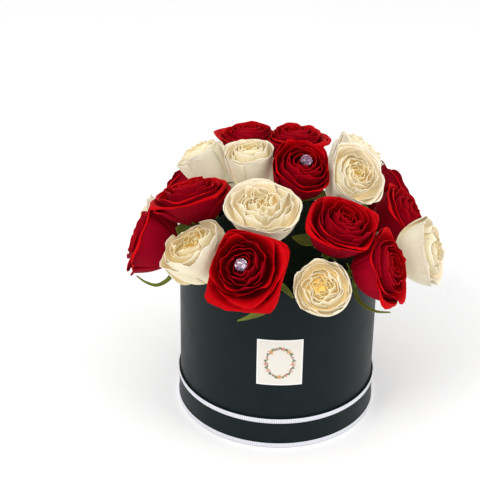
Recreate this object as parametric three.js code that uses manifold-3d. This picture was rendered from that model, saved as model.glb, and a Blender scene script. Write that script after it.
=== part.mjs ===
// Flower hat box: twenty-four cut roses standing in foam inside a round card box.
// Units are millimetres, +Z is up, the origin is under the middle of the box.
// The front, with the label, looks along -Y.

import * as THREE from "three";
import { mergeVertices } from "three/addons/utils/BufferGeometryUtils.js";
import Module from "manifold-3d";

const wasm = await Module();
wasm.setup();
const { Manifold, Mesh: SolidMesh } = wasm;

// Box and lid
const SIDES = 34;
const CLEARANCE = 0.3;
const BOARD = 2.0;
const LID_BOARD = 1.2;
const BOX_RADIUS = 100.0;
const BOX_TOP = 180.0;
const LID_HEIGHT = 35.0;
const LID_RADIUS = BOX_RADIUS + CLEARANCE + LID_BOARD;
const BOX_FOOT = BOARD + CLEARANCE;
const FLOOR_TOP = BOX_FOOT + BOARD;

// Ribbon trims glued round the lid rim
const TRIM_THICK = 0.6;
const TRIM_WIDTH = 5.0;
const TRIM_LOWER_FOOT = 0.4;
const TRIM_UPPER_FOOT = LID_HEIGHT - TRIM_WIDTH - 0.2;

// Paper label on the front wall
const LABEL_WIDTH = 45.0;
const LABEL_HEIGHT = 52.0;
const LABEL_MIDDLE = 101.0;
const LABEL_THICK = 0.7;
const LABEL_TURN = -0.6;

// Waterproof liner and floral foam
const LINER_RADIUS = 96.5;
const LINER_THICK = 1.0;
const LINER_TOP = 164.0;
const FOAM_RADIUS = 93.0;
const FOAM_SHOULDER = 166.0;
const FOAM_CROWN_RADIUS = 56.0;
const FOAM_TOP = 202.0;
const FOAM_FOOT = FLOOR_TOP + LINER_THICK + 2 * CLEARANCE;

// Stems
const STEM_RADIUS = 2.6;
const STEM_SIDES = 5;
const STEM_FOOT_Z = 142.0;
const GATE_RADIUS = 95.0;
const GATE_Z = 185.0;
const HIP_RADIUS = 4.6;
const SEPAL_THICK = 0.9;
const SEPAL_LENGTH = 15.0;
const SEPAL_DROOP = 4.5;

// Roses
const GOLDEN_TURN = 137.5;
const OUTER_PETALS = 8;
const OUTER_OPEN = 0.92;
const OUTER_STEP = 0.066;
const PETAL_THICK = 0.8;
const MITRE_LEAST = 0.7;
const CELL_POWER = 8.0;
const CELL_START = 0.74;
const CELL_GAP = 0.65;
const BASE_DEPTH = 0.6;
const GEM_RADIUS = 6.0;
const PIN_RADIUS = 0.9;

const VARIETY = {
  red: {
    petals: 26, reflex: 1.0, point: 0.12, spanIn: 105, spanOut: 64, crown: 0.12, corner: 0.12,
    gather: 0.4, core: 1.07, drop: 0.1, inner: [8, 14, 20],
  },
  cream: {
    petals: 30, reflex: 0.3, point: 0.04, spanIn: 62, spanOut: 72, crown: 0.1, corner: 0.06,
    gather: 0.5, core: 0.86, drop: 0.04, inner: [8, 14, 20],
  },
};

// Each rose: name, variety, middle of the head, bearing and tilt of its face in degrees
// (bearing 0 looks to the front, 90 to the right), half width, depth, openness, spin, seed,
// and how much taller the front petals are
const ROSES = [
  ["red_rose_1", "red", [-35.5, -118, 218], -14, 54, 50, 50, 1.0, 40, 1, 0.0],
  ["cream_rose_1", "cream", [38, -124, 198], -14, 47, 38, 46, 0.35, 10, 31, 0.0],
  ["red_rose_2", "red", [95.5, -89, 203], 68, 66, 47, 50, 0.65, 80, 3, 0.0],
  ["cream_rose_2", "cream", [140, -40, 192], 74, 72, 43, 46, 0.7, 20, 4, 0.0],
  ["cream_rose_3", "cream", [-80, -84, 213], -45, 34, 48, 54, 0.25, 60, 5, 0.32],
  ["red_rose_3", "red", [-129, -30, 198], -100, 74, 50, 52, 0.7, 0, 37, 0.0],
  ["cream_rose_4", "cream", [-19, -72, 251], -6, 18, 46, 50, 1.0, 0, 7, 0.0],
  ["red_rose_4", "red", [56, -82, 241], 50, 24, 47, 56, 0.9, 150, 32, 0.0],
  ["red_rose_5", "red", [-88, -38, 247], -112, 15, 47, 52, 1.0, 24, 33, 0.12],
  ["red_rose_6", "red", [123, 14, 204], 80, 55, 42, 50, 0.7, 0, 10, 0.0],
  ["cream_rose_5", "cream", [-128, 9, 190], -95, 78, 37, 45, 0.65, 0, 38, 0.0],
  ["red_rose_7", "red", [19, -20, 270], 25, 32, 44, 56, 0.55, 0, 12, 0.08],
  ["cream_rose_6", "cream", [-31, -6, 273], -20, 8, 34, 50, 0.5, 0, 13, 0.06],
  ["cream_rose_7", "cream", [-78, 31, 254], -110, 35, 33, 50, 0.35, 0, 14, 0.0],
  ["cream_rose_8", "cream", [67, -14, 259], 40, 46, 41, 52, 0.65, 0, 34, 0.0],
  ["cream_rose_9", "cream", [78, 46, 255], 115, 40, 34, 48, 0.7, 0, 16, 0.0],
  ["red_rose_8", "red", [-32, 53, 269], -165, 8, 40, 42, 1.0, 0, 17, 0.0],
  ["red_rose_9", "red", [13, 43, 272], 170, 8, 42, 42, 1.0, 0, 34, 0.0],
  ["red_rose_10", "red", [-96, 86, 190], -128, 76, 42, 50, 0.8, 0, 19, 0.0],
  ["cream_rose_10", "cream", [-52, 118, 204], -156, 66, 47, 50, 0.8, 0, 20, 0.0],
  ["red_rose_11", "red", [14, 130, 202], 173, 68, 47, 50, 0.85, 0, 31, 0.0],
  ["cream_rose_11", "cream", [80, 110, 203], 144, 66, 46, 50, 0.75, 0, 22, 0.0],
  ["red_rose_12", "red", [118, 62, 202], 114, 68, 45, 48, 0.75, 0, 23, 0.0],
  ["cream_rose_12", "cream", [-6, 94, 224], 175, 38, 45, 50, 0.8, 0, 31, 0.0],
];
const GEM_ROSES = ["red_rose_1", "red_rose_7"];

// Vectors as plain arrays
const add = (a, b) => [a[0] + b[0], a[1] + b[1], a[2] + b[2]];
const sub = (a, b) => [a[0] - b[0], a[1] - b[1], a[2] - b[2]];
const scale = (a, k) => [a[0] * k, a[1] * k, a[2] * k];
const dot = (a, b) => a[0] * b[0] + a[1] * b[1] + a[2] * b[2];
const cross = (a, b) => [a[1] * b[2] - a[2] * b[1], a[2] * b[0] - a[0] * b[2], a[0] * b[1] - a[1] * b[0]];
const size = (a) => Math.hypot(a[0], a[1], a[2]);
const unit = (a) => scale(a, 1 / size(a));
const radians = (degrees) => (degrees * Math.PI) / 180;

/** A fixed value between -1 and 1 for one petal and one use. */
function wobble(seed, petal, channel) {
  const s = Math.sin(seed * 78.233 + petal * 12.9898 + channel * 37.719) * 43758.5453;
  return 2 * (s - Math.floor(s)) - 1;
}

function bezier(s, a, b, c, d) {
  const q = 1 - s;
  return q * q * q * a + 3 * q * q * s * b + 3 * q * s * s * c + s * s * s * d;
}

/** Turns one row of the table into a rose with its own axes. */
function roseFrom([name, variety, middle, bearing, tilt, radius, height, open, spin, seed, lean]) {
  const b = radians(bearing);
  const t = radians(tilt);
  const axis = [Math.sin(b) * Math.sin(t), -Math.cos(b) * Math.sin(t), Math.cos(t)];
  const reference = Math.abs(axis[2]) < 0.95 ? [0, 0, 1] : [0, 1, 0];
  const across = unit(cross(reference, axis));
  const up = cross(axis, across);
  return { name, variety, middle, axis, across, up, radius, height, open, spin, seed, lean, form: VARIETY[variety] };
}

/** How far a rose head reaches from its middle along a direction. */
function reach(rose, direction) {
  const c = dot(rose.axis, direction);
  const s = Math.sqrt(Math.max(0, 1 - c * c));
  const rim = 0.22 * rose.height * c + 0.95 * rose.radius * s;
  const top = 0.42 * rose.height * c + 0.45 * rose.radius * s;
  const base = -BASE_DEPTH * rose.height * c + 10 * s;
  return Math.max(rim, top, base, 4);
}

/** Planes between each rose and its neighbours, and between it and the box rim. */
function cellPlanes(roses) {
  const planes = roses.map(() => []);
  roses.forEach((a, i) => {
    roses.slice(i + 1).forEach((b, k) => {
      const apart = sub(b.middle, a.middle);
      const far = size(apart);
      const n = unit(apart);
      const ra = reach(a, n);
      const rb = reach(b, scale(n, -1));
      if (ra + rb < 0.75 * far) return;
      const share = (far * ra) / (ra + rb);
      planes[i].push([n, share - CELL_GAP]);
      planes[i + 1 + k].push([scale(n, -1), far - share - CELL_GAP]);
    });
    const out = Math.hypot(a.middle[0], a.middle[1]);
    if (out > BOX_RADIUS - 8) {
      const k = BOX_RADIUS / out;
      const toRim = sub([a.middle[0] * k, a.middle[1] * k, BOX_TOP], a.middle);
      planes[i].push([unit(toRim), size(toRim) - 1.5]);
    }
  });
  return planes;
}

/** Draws a point in towards the middle of its rose so it stays inside the cell. */
function keepInCell(point, rose) {
  const away = sub(point, rose.middle);
  const far = size(away);
  if (far < 1e-6) return point;
  const direction = scale(away, 1 / far);
  let sum = 0;
  for (const [n, gap] of rose.planes) sum += Math.max(0, dot(direction, n) / gap) ** CELL_POWER;
  const limit = Math.max(sum, 1e-30) ** (-1 / CELL_POWER);
  const x = far / limit;
  const room = 1 - CELL_START;
  const held = x < CELL_START ? x : CELL_START + room * (1 - Math.exp(-(x - CELL_START) / room));
  return add(rose.middle, scale(direction, held * limit));
}

/** From a rose's own frame, base at the origin and face along +z, to the box frame. */
function toBox(rose, [x, y, z]) {
  const lifted = z - BASE_DEPTH * rose.height;
  const moved = add(scale(rose.across, x), add(scale(rose.up, y), scale(rose.axis, lifted)));
  return keepInCell(add(rose.middle, moved), rose);
}

/** Place of a petal from the innermost at 0 to the outermost at 1; the outer ones stand well apart. */
function layerOf(form, petal) {
  return petal < OUTER_LEVELS.length ? 1 - OUTER_STEP * petal : 1 - petal / (form.petals - 1);
}

/** The outermost petals gather into one whorl and open to nearly one width; the rest follow in turn. */
function whorlOf(form, petal, layer) {
  return petal < OUTER_PETALS ? layer + form.gather * (OUTER_OPEN - layer) : form.core * layer;
}

/** One point of a petal: u runs edge to edge, v from base to tip. Petal 0 is outermost. */
function petalPoint(rose, petal, u, v, aside = 0) {
  const { form, radius: R, height: H, open, seed } = rose;
  const T = layerOf(form, petal);
  const whorl = whorlOf(form, petal, T);
  const side = Math.abs(u);
  const closed = 0.07 + 0.5 * whorl ** 0.9;
  const opened = 0.07 + 0.93 * whorl ** 1.5;
  const rim = R * (closed + (opened - closed) * open) * (1 + 0.03 * wobble(seed, petal, 1));
  const belly = R * (0.1 + 0.62 * T ** 0.8) * (1 + 0.01 * wobble(seed, petal, 2));
  const middleTurn = radians(rose.spin + GOLDEN_TURN * petal + 9 * wobble(seed, petal, 0));
  const lean = rose.lean * Math.cos(middleTurn - Math.atan2(-rose.up[1], -rose.across[1])) * whorl;
  const swell = 0.06 * Math.sin(Math.PI * Math.min(1.15 * whorl, 1));
  const top = H * (0.85 + swell - form.drop * open * whorl ** 3 + lean) * (1 + 0.03 * wobble(seed, petal, 3));
  const flare = form.reflex * (0.3 + 0.7 * open) * whorl ** 2.2;
  const s = v * (1 - form.crown * side ** 2.4);
  const foot = 1.0 + 9.0 * (1 - T);
  const lipR = belly + (rim - belly) * (0.35 - 0.25 * flare);
  const tipR = rim * (1 - form.corner * T * side ** 1.6);
  const tipZ = top - form.corner * H * flare * u * u - 0.06 * H * flare;
  const roll = flare * R * 0.1 * s ** 9;
  const point = form.point * R * T * T * Math.exp(-((u / 0.14) ** 2)) * s ** 8;
  const r = bezier(s, 2 + 4 * T, belly, lipR, tipR) + point + 0.5 * roll;
  const z = bezier(s, foot, foot + 0.06 * H, top * (0.8 + 0.3 * flare), tipZ) - 0.9 * roll;
  const half = radians(form.spanIn + (form.spanOut - form.spanIn) * T ** 0.7);
  const start = middleTurn + radians(aside);
  const turn = start + half * u * (1 - 0.1 * s ** 6);
  return toBox(rose, [r * Math.cos(turn), r * Math.sin(turn), z]);
}

function solid(points, triangles) {
  const vertProperties = new Float32Array(points.flat());
  return new Manifold(new SolidMesh({ numProp: 3, vertProperties, triVerts: new Uint32Array(triangles.flat()) }));
}

function closed(rings) {
  const { points, triangles } = skin(rings);
  return solid(points, triangles);
}

/** A closed plate of even thickness over a grid of points and their outward normals. */
function plate(grid, normals, thick) {
  const rows = grid.length;
  const columns = grid[0].length;
  const points = [];
  for (const sign of [1, -1]) {
    for (let i = 0; i < rows; i += 1) {
      for (let j = 0; j < columns; j += 1) {
        points.push(add(grid[i][j], scale(normals[i][j], (sign * thick) / 2)));
      }
    }
  }
  const far = rows * columns;
  const at = (i, j) => i * columns + j;
  const triangles = [];
  const quad = (a, b, c, d) => triangles.push([a, b, c], [a, c, d]);
  for (let i = 0; i < rows - 1; i += 1) {
    for (let j = 0; j < columns - 1; j += 1) {
      quad(at(i, j), at(i + 1, j), at(i + 1, j + 1), at(i, j + 1));
      quad(at(i, j) + far, at(i, j + 1) + far, at(i + 1, j + 1) + far, at(i + 1, j) + far);
    }
  }
  const rim = [];
  for (let i = 0; i < rows - 1; i += 1) rim.push(at(i, 0));
  for (let j = 0; j < columns - 1; j += 1) rim.push(at(rows - 1, j));
  for (let i = rows - 1; i > 0; i -= 1) rim.push(at(i, columns - 1));
  for (let j = columns - 1; j > 0; j -= 1) rim.push(at(0, j));
  rim.forEach((a, k) => {
    const b = rim[(k + 1) % rim.length];
    quad(a, a + far, b + far, b);
  });
  return solid(points, triangles);
}

/** Joins two rings of corners into a band; one ring may have twice as many corners. */
function band(lower, upper) {
  const triangles = [];
  const n = Math.min(lower.length, upper.length);
  for (let j = 0; j < n; j += 1) {
    const next = (j + 1) % n;
    if (lower.length === upper.length) {
      triangles.push([lower[j], lower[next], upper[next]], [lower[j], upper[next], upper[j]]);
    } else if (lower.length < upper.length) {
      triangles.push([lower[j], lower[next], upper[2 * j + 1]]);
      triangles.push([lower[j], upper[2 * j + 1], upper[2 * j]]);
      triangles.push([lower[next], upper[2 * next], upper[2 * j + 1]]);
    } else {
      triangles.push([lower[2 * j], lower[2 * j + 1], upper[j]]);
      triangles.push([lower[2 * j + 1], upper[next], upper[j]]);
      triangles.push([lower[2 * j + 1], lower[2 * next], upper[next]]);
    }
  }
  return triangles;
}

/** A closed skin through rings of points, capped at both ends; faces in skip are left open. */
function skin(rings, skip = () => false) {
  const points = rings.flat();
  const starts = [];
  rings.reduce((sum, ring) => {
    starts.push(sum);
    return sum + ring.length;
  }, 0);
  const at = (k) => rings[k].map((_, j) => starts[k] + j);
  const triangles = [];
  for (let k = 0; k < rings.length - 1; k += 1) {
    const step = band(at(k), at(k + 1));
    const each = step.length / Math.min(rings[k].length, rings[k + 1].length);
    step.forEach((t, j) => {
      if (!skip(k, Math.floor(j / each))) triangles.push(t);
    });
  }
  const first = at(0);
  const last = at(rings.length - 1);
  for (let j = 1; j < first.length - 1; j += 1) triangles.push([first[0], first[j + 1], first[j]]);
  for (let j = 1; j < last.length - 1; j += 1) triangles.push([last[0], last[j], last[j + 1]]);
  return { points, triangles, at };
}

/** Outer and inner face of a petal over a grid of stations, mitred where its section turns. */
function petalFaces(rose, petal, us, vs, aside) {
  const step = 0.01;
  const place = (u, v) => petalPoint(rose, petal, u, v, aside);
  const grid = us.map((u) => vs.map((v) => place(u, v)));
  const offsets = us.map((u, i) => {
    const across = (v) => sub(place(u + step, v), place(u - step, v));
    const normals = vs.slice(1).map((v, j) => {
      const along = sub(grid[i][j + 1], grid[i][j]);
      return unit(cross(across((v + vs[j]) / 2), along));
    });
    return vs.map((_, j) => {
      const before = normals[Math.max(j - 1, 0)];
      const after = normals[Math.min(j, normals.length - 1)];
      const mean = unit(add(before, after));
      return scale(mean, PETAL_THICK / 2 / Math.max(dot(mean, after), MITRE_LEAST));
    });
  });
  const face = (sign) => grid.map((row, i) => row.map((p, j) => add(p, scale(offsets[i][j], sign))));
  return { outer: face(1), inner: face(-1) };
}

/** Adds a petal that grows out of one open face of the heart, given as its four corners. */
function graft(points, triangles, faces, [low0, low1, high1, high0]) {
  const { outer, inner } = faces;
  const columns = outer.length;
  const rows = outer[0].length;
  const first = points.length;
  outer.forEach((row) => points.push(...row));
  const second = points.length;
  inner.forEach((row) => points.push(...row));
  const o = (i, j) => first + i * rows + j;
  const n = (i, j) => second + i * rows + j;
  const quad = (a, b, c, d) => triangles.push([a, b, c], [a, c, d]);
  const middle = Math.floor(columns / 2);
  triangles.push([low0, low1, o(middle, 0)], [high0, n(middle, 0), high1]);
  for (let i = 0; i < columns - 1; i += 1) {
    const [low, high] = i < middle ? [low0, high0] : [low1, high1];
    triangles.push([low, o(i + 1, 0), o(i, 0)], [high, n(i, 0), n(i + 1, 0)]);
    for (let j = 0; j < rows - 1; j += 1) {
      quad(o(i, j), o(i + 1, j), o(i + 1, j + 1), o(i, j + 1));
      quad(n(i, j), n(i, j + 1), n(i + 1, j + 1), n(i + 1, j));
    }
    quad(o(i + 1, rows - 1), n(i + 1, rows - 1), n(i, rows - 1), o(i, rows - 1));
  }
  const end = columns - 1;
  quad(low1, high1, n(end, 0), o(end, 0));
  quad(high0, low0, o(0, 0), n(0, 0));
  for (let j = 0; j < rows - 1; j += 1) {
    quad(o(end, j), n(end, j), n(end, j + 1), o(end, j + 1));
    quad(n(0, j), o(0, j), o(0, j + 1), n(0, j + 1));
  }
}

/** Gem with its pin, standing in the middle of a rose; grow adds clearance all round. */
function gem(rose, grow) {
  const z = 0.87 * rose.height;
  const sides = 8;
  const stations = [
    [PIN_RADIUS, z - 24 - grow],
    [PIN_RADIUS, z - 4.5],
    [0.55 * GEM_RADIUS, z - 4.5],
    [GEM_RADIUS, z + 0.5],
    [GEM_RADIUS, z + 1.8],
    [0.6 * GEM_RADIUS, z + 4.4 + grow],
  ];
  return closed(
    stations.map(([r, height], k) =>
      Array.from({ length: sides }, (_, j) => {
        const turn = radians((360 * (j + (k > 3 ? 0.5 : 0))) / sides);
        const lowered = k === 2 ? height - grow : height;
        const own = [(r + grow) * Math.cos(turn), (r + grow) * Math.sin(turn), lowered];
        const lifted = own[2] - BASE_DEPTH * rose.height;
        const moved = add(scale(rose.across, own[0]), add(scale(rose.up, own[1]), scale(rose.axis, lifted)));
        return add(rose.middle, moved);
      }),
    ),
  );
}

const OUTER_US = [-0.8, -0.4, 0, 0.4, 0.8];
const OUTER_VS = { red: [0.36, 0.76, 0.94], cream: [0.34, 1] };
const INNER_US = [-0.9, -0.3, 0.3, 0.9];
const INNER_VS = [0.45, 1];

// Levels of the heart that the petals of the solid rose grow from, outermost petal first
const OUTER_LEVELS = [0, 0, 1, 1, 2];
const INNER_LEVELS = [3, 3, 4];
const LEVELS = 5;
const LEVEL_FOOT = 0.6;
const LEVEL_STEP = 1.9;
// Share of the full width and turn in degrees that a petal may take to clear its neighbours
const FITTINGS = [[1, 0], [0.82, 0], [0.7, 0], [0.82, 10], [0.82, -10], [0.7, 18], [0.7, -18], [0.62, 26], [0.62, -26]];
const LEVEL_HIGH = 1.0;
const HEART_SIDES = 5;
const ROOT_SINK = 1.2;
const ROOT_SLIM = 0.8;

/** Corners of the rolled heart, ring by ring; every level has a low and a high ring. */
function heartRings(rose) {
  const stations = [];
  for (let level = 0; level < LEVELS; level += 1) {
    const r = 7.0 - 0.5 * level;
    stations.push([r, LEVEL_FOOT + LEVEL_STEP * level], [r, LEVEL_FOOT + LEVEL_STEP * level + LEVEL_HIGH]);
  }
  stations.push([0.13 * rose.radius, 0.5 * rose.height], [0.08 * rose.radius, 0.88 * rose.height]);
  return stations.map(([r, z]) =>
    Array.from({ length: HEART_SIDES }, (_, j) => {
      const turn = radians(rose.spin + (360 * (j - 0.5)) / HEART_SIDES);
      return toBox(rose, [r * Math.cos(turn), r * Math.sin(turn), z]);
    }),
  );
}

/** A petal as a closed solid of its own, with its root sunk into the heart. */
function loosePetal(rose, faces, corners) {
  const middle = scale(corners.reduce(add), 0.25);
  const depth = dot(sub(middle, rose.middle), rose.axis);
  const inward = scale(unit(sub(add(rose.middle, scale(rose.axis, depth)), middle)), ROOT_SINK);
  const points = corners.map((corner) => add(add(scale(corner, ROOT_SLIM), scale(middle, 1 - ROOT_SLIM)), inward));
  const triangles = [
    [0, 3, 2],
    [0, 2, 1],
  ];
  graft(points, triangles, faces, [0, 1, 2, 3]);
  return solid(points, triangles);
}

/** All petals of one rose round its rolled heart, as one body. */
function bloom(rose) {
  const rings = heartRings(rose);
  const shown = [0, 1, 2, 3, 4].map((petal, i) => [petal, OUTER_LEVELS[i], OUTER_US, OUTER_VS[rose.variety]]);
  rose.form.inner.forEach((petal, i) => shown.push([petal, INNER_LEVELS[i], INNER_US, INNER_VS]));
  const grown = new Map();
  const apart = [];
  const accepted = [];
  for (const [petal, level, us, vs] of shown) {
    let side = Math.round((GOLDEN_TURN * petal * HEART_SIDES) / 360) % HEART_SIDES;
    while (grown.has(`${level} ${side}`)) side = (side + 1) % HEART_SIDES;
    const next = (side + 1) % HEART_SIDES;
    const [low, high] = [rings[2 * level], rings[2 * level + 1]];
    const root = [low[side], low[next], high[next], high[side]];
    const fit = ([k, aside]) => petalFaces(rose, petal, us.map((u) => k * u), vs, aside);
    const tries = FITTINGS.map(fit);
    const solids = tries.map((faces) => loosePetal(rose, faces, root));
    const clear = solids.findIndex((own) => accepted.every((other) => other.intersect(own).volume() < 1e-4));
    if (clear < 0) {
      apart.push(solids[0]);
    } else {
      accepted.push(solids[clear]);
      grown.set(`${level} ${side}`, { level, side, next, faces: tries[clear] });
    }
  }
  const open = (k, side) => k % 2 === 0 && grown.has(`${k / 2} ${side}`);
  const { points, triangles, at } = skin(rings, open);
  for (const { level, side, next, faces } of grown.values()) {
    const low = at(2 * level);
    const high = at(2 * level + 1);
    graft(points, triangles, faces, [low[side], low[next], high[next], high[side]]);
  }
  const body = Manifold.union([solid(points, triangles), ...apart]);
  return GEM_ROSES.includes(rose.name) ? body.subtract(gem(rose, CLEARANCE)) : body;
}

/** Points down the middle of a stem, from under the hip to its foot in the foam. */
function stemLine(rose) {
  const start = toBox(rose, [0, 0, -8]);
  const down = unit(sub(start, toBox(rose, [0, 0, 0])));
  const out = Math.hypot(start[0], start[1]);
  const share = out > 70 ? 0.6 : 0.55;
  const foot = [start[0] * share, start[1] * share, STEM_FOOT_Z];
  if (out > GATE_RADIUS - 14 && start[2] < 200) {
    const over = Math.min(GATE_RADIUS, out - 3) / out;
    const gate = [start[0] * over, start[1] * over, Math.max(GATE_Z, start[2] - 2)];
    return [start, gate, foot];
  }
  const bend = add(start, scale(down, 12));
  return [start, scale(add(bend, add(start, scale(sub(foot, start), 0.25))), 0.5), foot];
}

/** Rings round a line of points, each turned as the one before it; start points to the first corner. */
function tubeRings(line, radius, sides, start) {
  let corner = start;
  return line.map((p, k) => {
    const before = line[Math.max(k - 1, 0)];
    const after = line[Math.min(k + 1, line.length - 1)];
    const along = unit(sub(after, before));
    const a = unit(sub(corner, scale(along, dot(corner, along))));
    const b = cross(along, a);
    corner = a;
    return Array.from({ length: sides }, (_, j) => {
      const turn = (2 * Math.PI * j) / sides;
      return add(p, add(scale(a, radius * Math.cos(turn)), scale(b, radius * Math.sin(turn))));
    });
  });
}

/** A thin pointed blade along stations of [x, y, z, width], facing the given way. */
function blade(stations, facing) {
  const line = stations.map((s) => s.slice(0, 3));
  const points = [];
  for (const sign of [1, -1]) {
    line.forEach((p, k) => {
      const along = unit(sub(line[Math.min(k + 1, line.length - 1)], line[Math.max(k - 1, 0)]));
      const side = unit(cross(along, facing));
      const normal = cross(side, along);
      for (const edge of [-1, 1]) {
        const half = (edge * stations[k][3]) / 2;
        points.push(add(p, add(scale(side, half), scale(normal, (sign * SEPAL_THICK) / 2))));
      }
    });
  }
  const far = 2 * line.length;
  const triangles = [];
  const quad = (a, b, c, d) => triangles.push([a, b, c], [a, c, d]);
  for (let a = 0; a < far - 2; a += 2) {
    quad(a, a + 1, a + 3, a + 2);
    quad(a + far, a + far + 2, a + far + 3, a + far + 1);
    quad(a, a + 2, a + far + 2, a + far);
    quad(a + 1, a + far + 1, a + far + 3, a + 3);
  }
  quad(0, far, far + 1, 1);
  quad(far - 2, far - 1, 2 * far - 1, 2 * far - 2);
  return solid(points, triangles);
}

// Leaves and long sepals that show in front: the way each faces, then its stations
const LEAVES = {
  cream_rose_2: [
    [
      [0.1, -0.9, 0.4],
      [93, -26.5, 185, 3],
      [94, -30, 193, 9],
      [93.5, -35, 202, 12],
      [92.3, -40, 212, 1],
    ],
  ],
  cream_rose_6: [
    [
      [0, -0.7, 0.7],
      [-29.8, -3, 227, 3],
      [-42, -9, 233, 9],
      [-54, -14, 236, 11],
      [-62, -17, 236, 1],
    ],
  ],
  red_rose_1: [
    [
      [0.3, -0.9, 0.4],
      [-33, -93, 197.5, 3.5],
      [-18, -103, 185, 8],
      [-11, -108.5, 175, 11],
      [-18, -110, 166, 9],
      [-30, -107.5, 157, 4.5],
      [-41, -104, 150.5, 1],
    ],
    [
      [0, -0.8, 0.6],
      [-32, -93, 198.5, 3.5],
      [-12, -101, 195, 6],
      [2, -108, 190, 6],
      [11, -114, 183, 1],
    ],
  ],
  red_rose_2: [
    [
      [0.3, -0.6, 0.7],
      [72, -68, 188.5, 3],
      [71, -76, 174, 4.5],
      [76, -86, 163, 4],
      [90, -93, 157, 2.5],
      [105, -93, 155.5, 1],
    ],
  ],
  red_rose_3: [
    [
      [0, -0.7, 0.7],
      [-96, -33, 184.5, 3],
      [-103, -40, 172, 4],
      [-109, -46, 162, 4],
      [-120, -50, 157, 3],
      [-131, -50, 160, 2],
      [-140, -50, 167, 1],
    ],
  ],
  red_rose_4: [
    [
      [0, -0.5, 0.8],
      [43.5, -64, 211.5, 3],
      [32, -62, 215, 10],
      [21, -60, 215.5, 12],
      [10, -58, 217, 1.5],
    ],
  ],
  red_rose_5: [
    [
      [0, -0.6, 0.8],
      [-76, -40, 203, 3],
      [-86, -40.5, 208, 9],
      [-96, -39.5, 211, 11],
      [-101, -38.5, 212.5, 1],
    ],
  ],
  red_rose_7: [
    [
      [0, -0.7, 0.7],
      [9, 0, 222, 3],
      [22, 2, 229, 9],
      [36, 8, 231, 13],
      [48, 15, 227, 1],
    ],
  ],
  cream_rose_8: [
    [
      [0, -0.7, 0.7],
      [51, 7, 226, 3],
      [64, 1, 225, 10],
      [77, -4, 222, 13],
      [90, -9, 218, 1],
    ],
  ],
};

/** Stem, hip and five sepals of one rose as one green piece. */
function greenery(rose) {
  const ring = (r, z, tip, drop) => {
    const corners = [];
    for (let j = 0; j < STEM_SIDES; j += 1) {
      const turn = (-2 * Math.PI * j) / STEM_SIDES;
      const half = turn - Math.PI / STEM_SIDES;
      corners.push(toBox(rose, [r * Math.cos(turn), r * Math.sin(turn), z]));
      if (tip) corners.push(toBox(rose, [tip * Math.cos(half), tip * Math.sin(half), z - drop]));
    }
    return corners;
  };
  const rings = [
    ring(HIP_RADIUS - 0.6, 0.2),
    ring(HIP_RADIUS, -1.2, SEPAL_LENGTH, SEPAL_DROOP),
    ring(HIP_RADIUS, -1.2 - SEPAL_THICK, SEPAL_LENGTH, SEPAL_DROOP),
    ring(HIP_RADIUS - 0.4, -5),
    ...tubeRings(stemLine(rose), STEM_RADIUS, STEM_SIDES, stemCorner(rose)),
  ];
  const leaves = LEAVES[rose.name] ?? [];
  return Manifold.union([closed(rings), ...leaves.map(([facing, ...stations]) => blade(stations, facing))]);
}

/** Towards the first corner of a stem's section. */
function stemCorner(rose) {
  return sub(toBox(rose, [HIP_RADIUS, 0, -3.5]), toBox(rose, [0, 0, -3.5]));
}

/** The hole a stem needs in the foam. */
function stemHole(rose) {
  const line = stemLine(rose);
  const last = line.length - 1;
  const below = unit(sub(line[last], line[last - 1]));
  line.push(add(line[last], scale(below, 2)));
  line.splice(last, 1);
  return closed(tubeRings(line, STEM_RADIUS + 0.6, STEM_SIDES, stemCorner(rose)));
}

/** A turned piece from a section of [radius, height] pairs, up the outside and down the inside. */
function turned(section) {
  const outline = section.map(([r, z]) => new THREE.Vector2(r, z));
  return new THREE.LatheGeometry(outline, SIDES).rotateX(Math.PI / 2);
}

function tube(inner, outer, foot, top) {
  return turned([
    [inner, foot],
    [outer, foot],
    [outer, top],
    [inner, top],
    [inner, foot],
  ]);
}

function disc(radius, foot, top) {
  return turned([
    [0, foot],
    [radius, foot],
    [radius, top],
    [0, top],
  ]);
}

/** A closed geometry as a solid that can be joined and cut. */
function asSolid(geometry) {
  const bare = geometry.clone();
  bare.deleteAttribute("normal");
  bare.deleteAttribute("uv");
  const merged = mergeVertices(bare, 1e-3);
  const index = merged.index.array;
  const kept = [];
  for (let i = 0; i < index.length; i += 3) {
    const [a, b, c] = [index[i], index[i + 1], index[i + 2]];
    if (a !== b && b !== c && c !== a) kept.push(a, b, c);
  }
  const vertProperties = new Float32Array(merged.attributes.position.array);
  return new Manifold(new SolidMesh({ numProp: 3, vertProperties, triVerts: new Uint32Array(kept) }));
}

/** The geometry of a solid's largest body: sealed hollows are filled and loose scraps left out. */
function oneBody(body) {
  const data = body.getMesh();
  const count = data.vertProperties.length / data.numProp;
  const leader = Array.from({ length: count }, (_, i) => i);
  const find = (i) => {
    let k = i;
    while (leader[k] !== k) k = leader[k] = leader[leader[k]];
    return k;
  };
  const corners = (t) => [0, 1, 2].map((k) => data.triVerts[3 * t + k]);
  const triangles = data.triVerts.length / 3;
  for (let t = 0; t < triangles; t += 1) {
    const [a, b, c] = corners(t).map(find);
    leader[b] = a;
    leader[find(c)] = a;
  }
  const place = (i) => Array.from(data.vertProperties.slice(3 * i, 3 * i + 3));
  const volume = new Map();
  for (let t = 0; t < triangles; t += 1) {
    const [a, b, c] = corners(t);
    const own = find(a);
    volume.set(own, (volume.get(own) ?? 0) + dot(place(a), cross(place(b), place(c))));
  }
  const largest = [...volume.entries()].sort((a, b) => b[1] - a[1])[0][0];
  const kept = [];
  for (let t = 0; t < triangles; t += 1) if (find(corners(t)[0]) === largest) kept.push(...corners(t));
  const geometry = new THREE.BufferGeometry();
  geometry.setAttribute("position", new THREE.BufferAttribute(new Float32Array(data.vertProperties), 3));
  geometry.setIndex(kept);
  const loose = geometry.toNonIndexed();
  return mergeVertices(loose, 1e-6);
}

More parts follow.
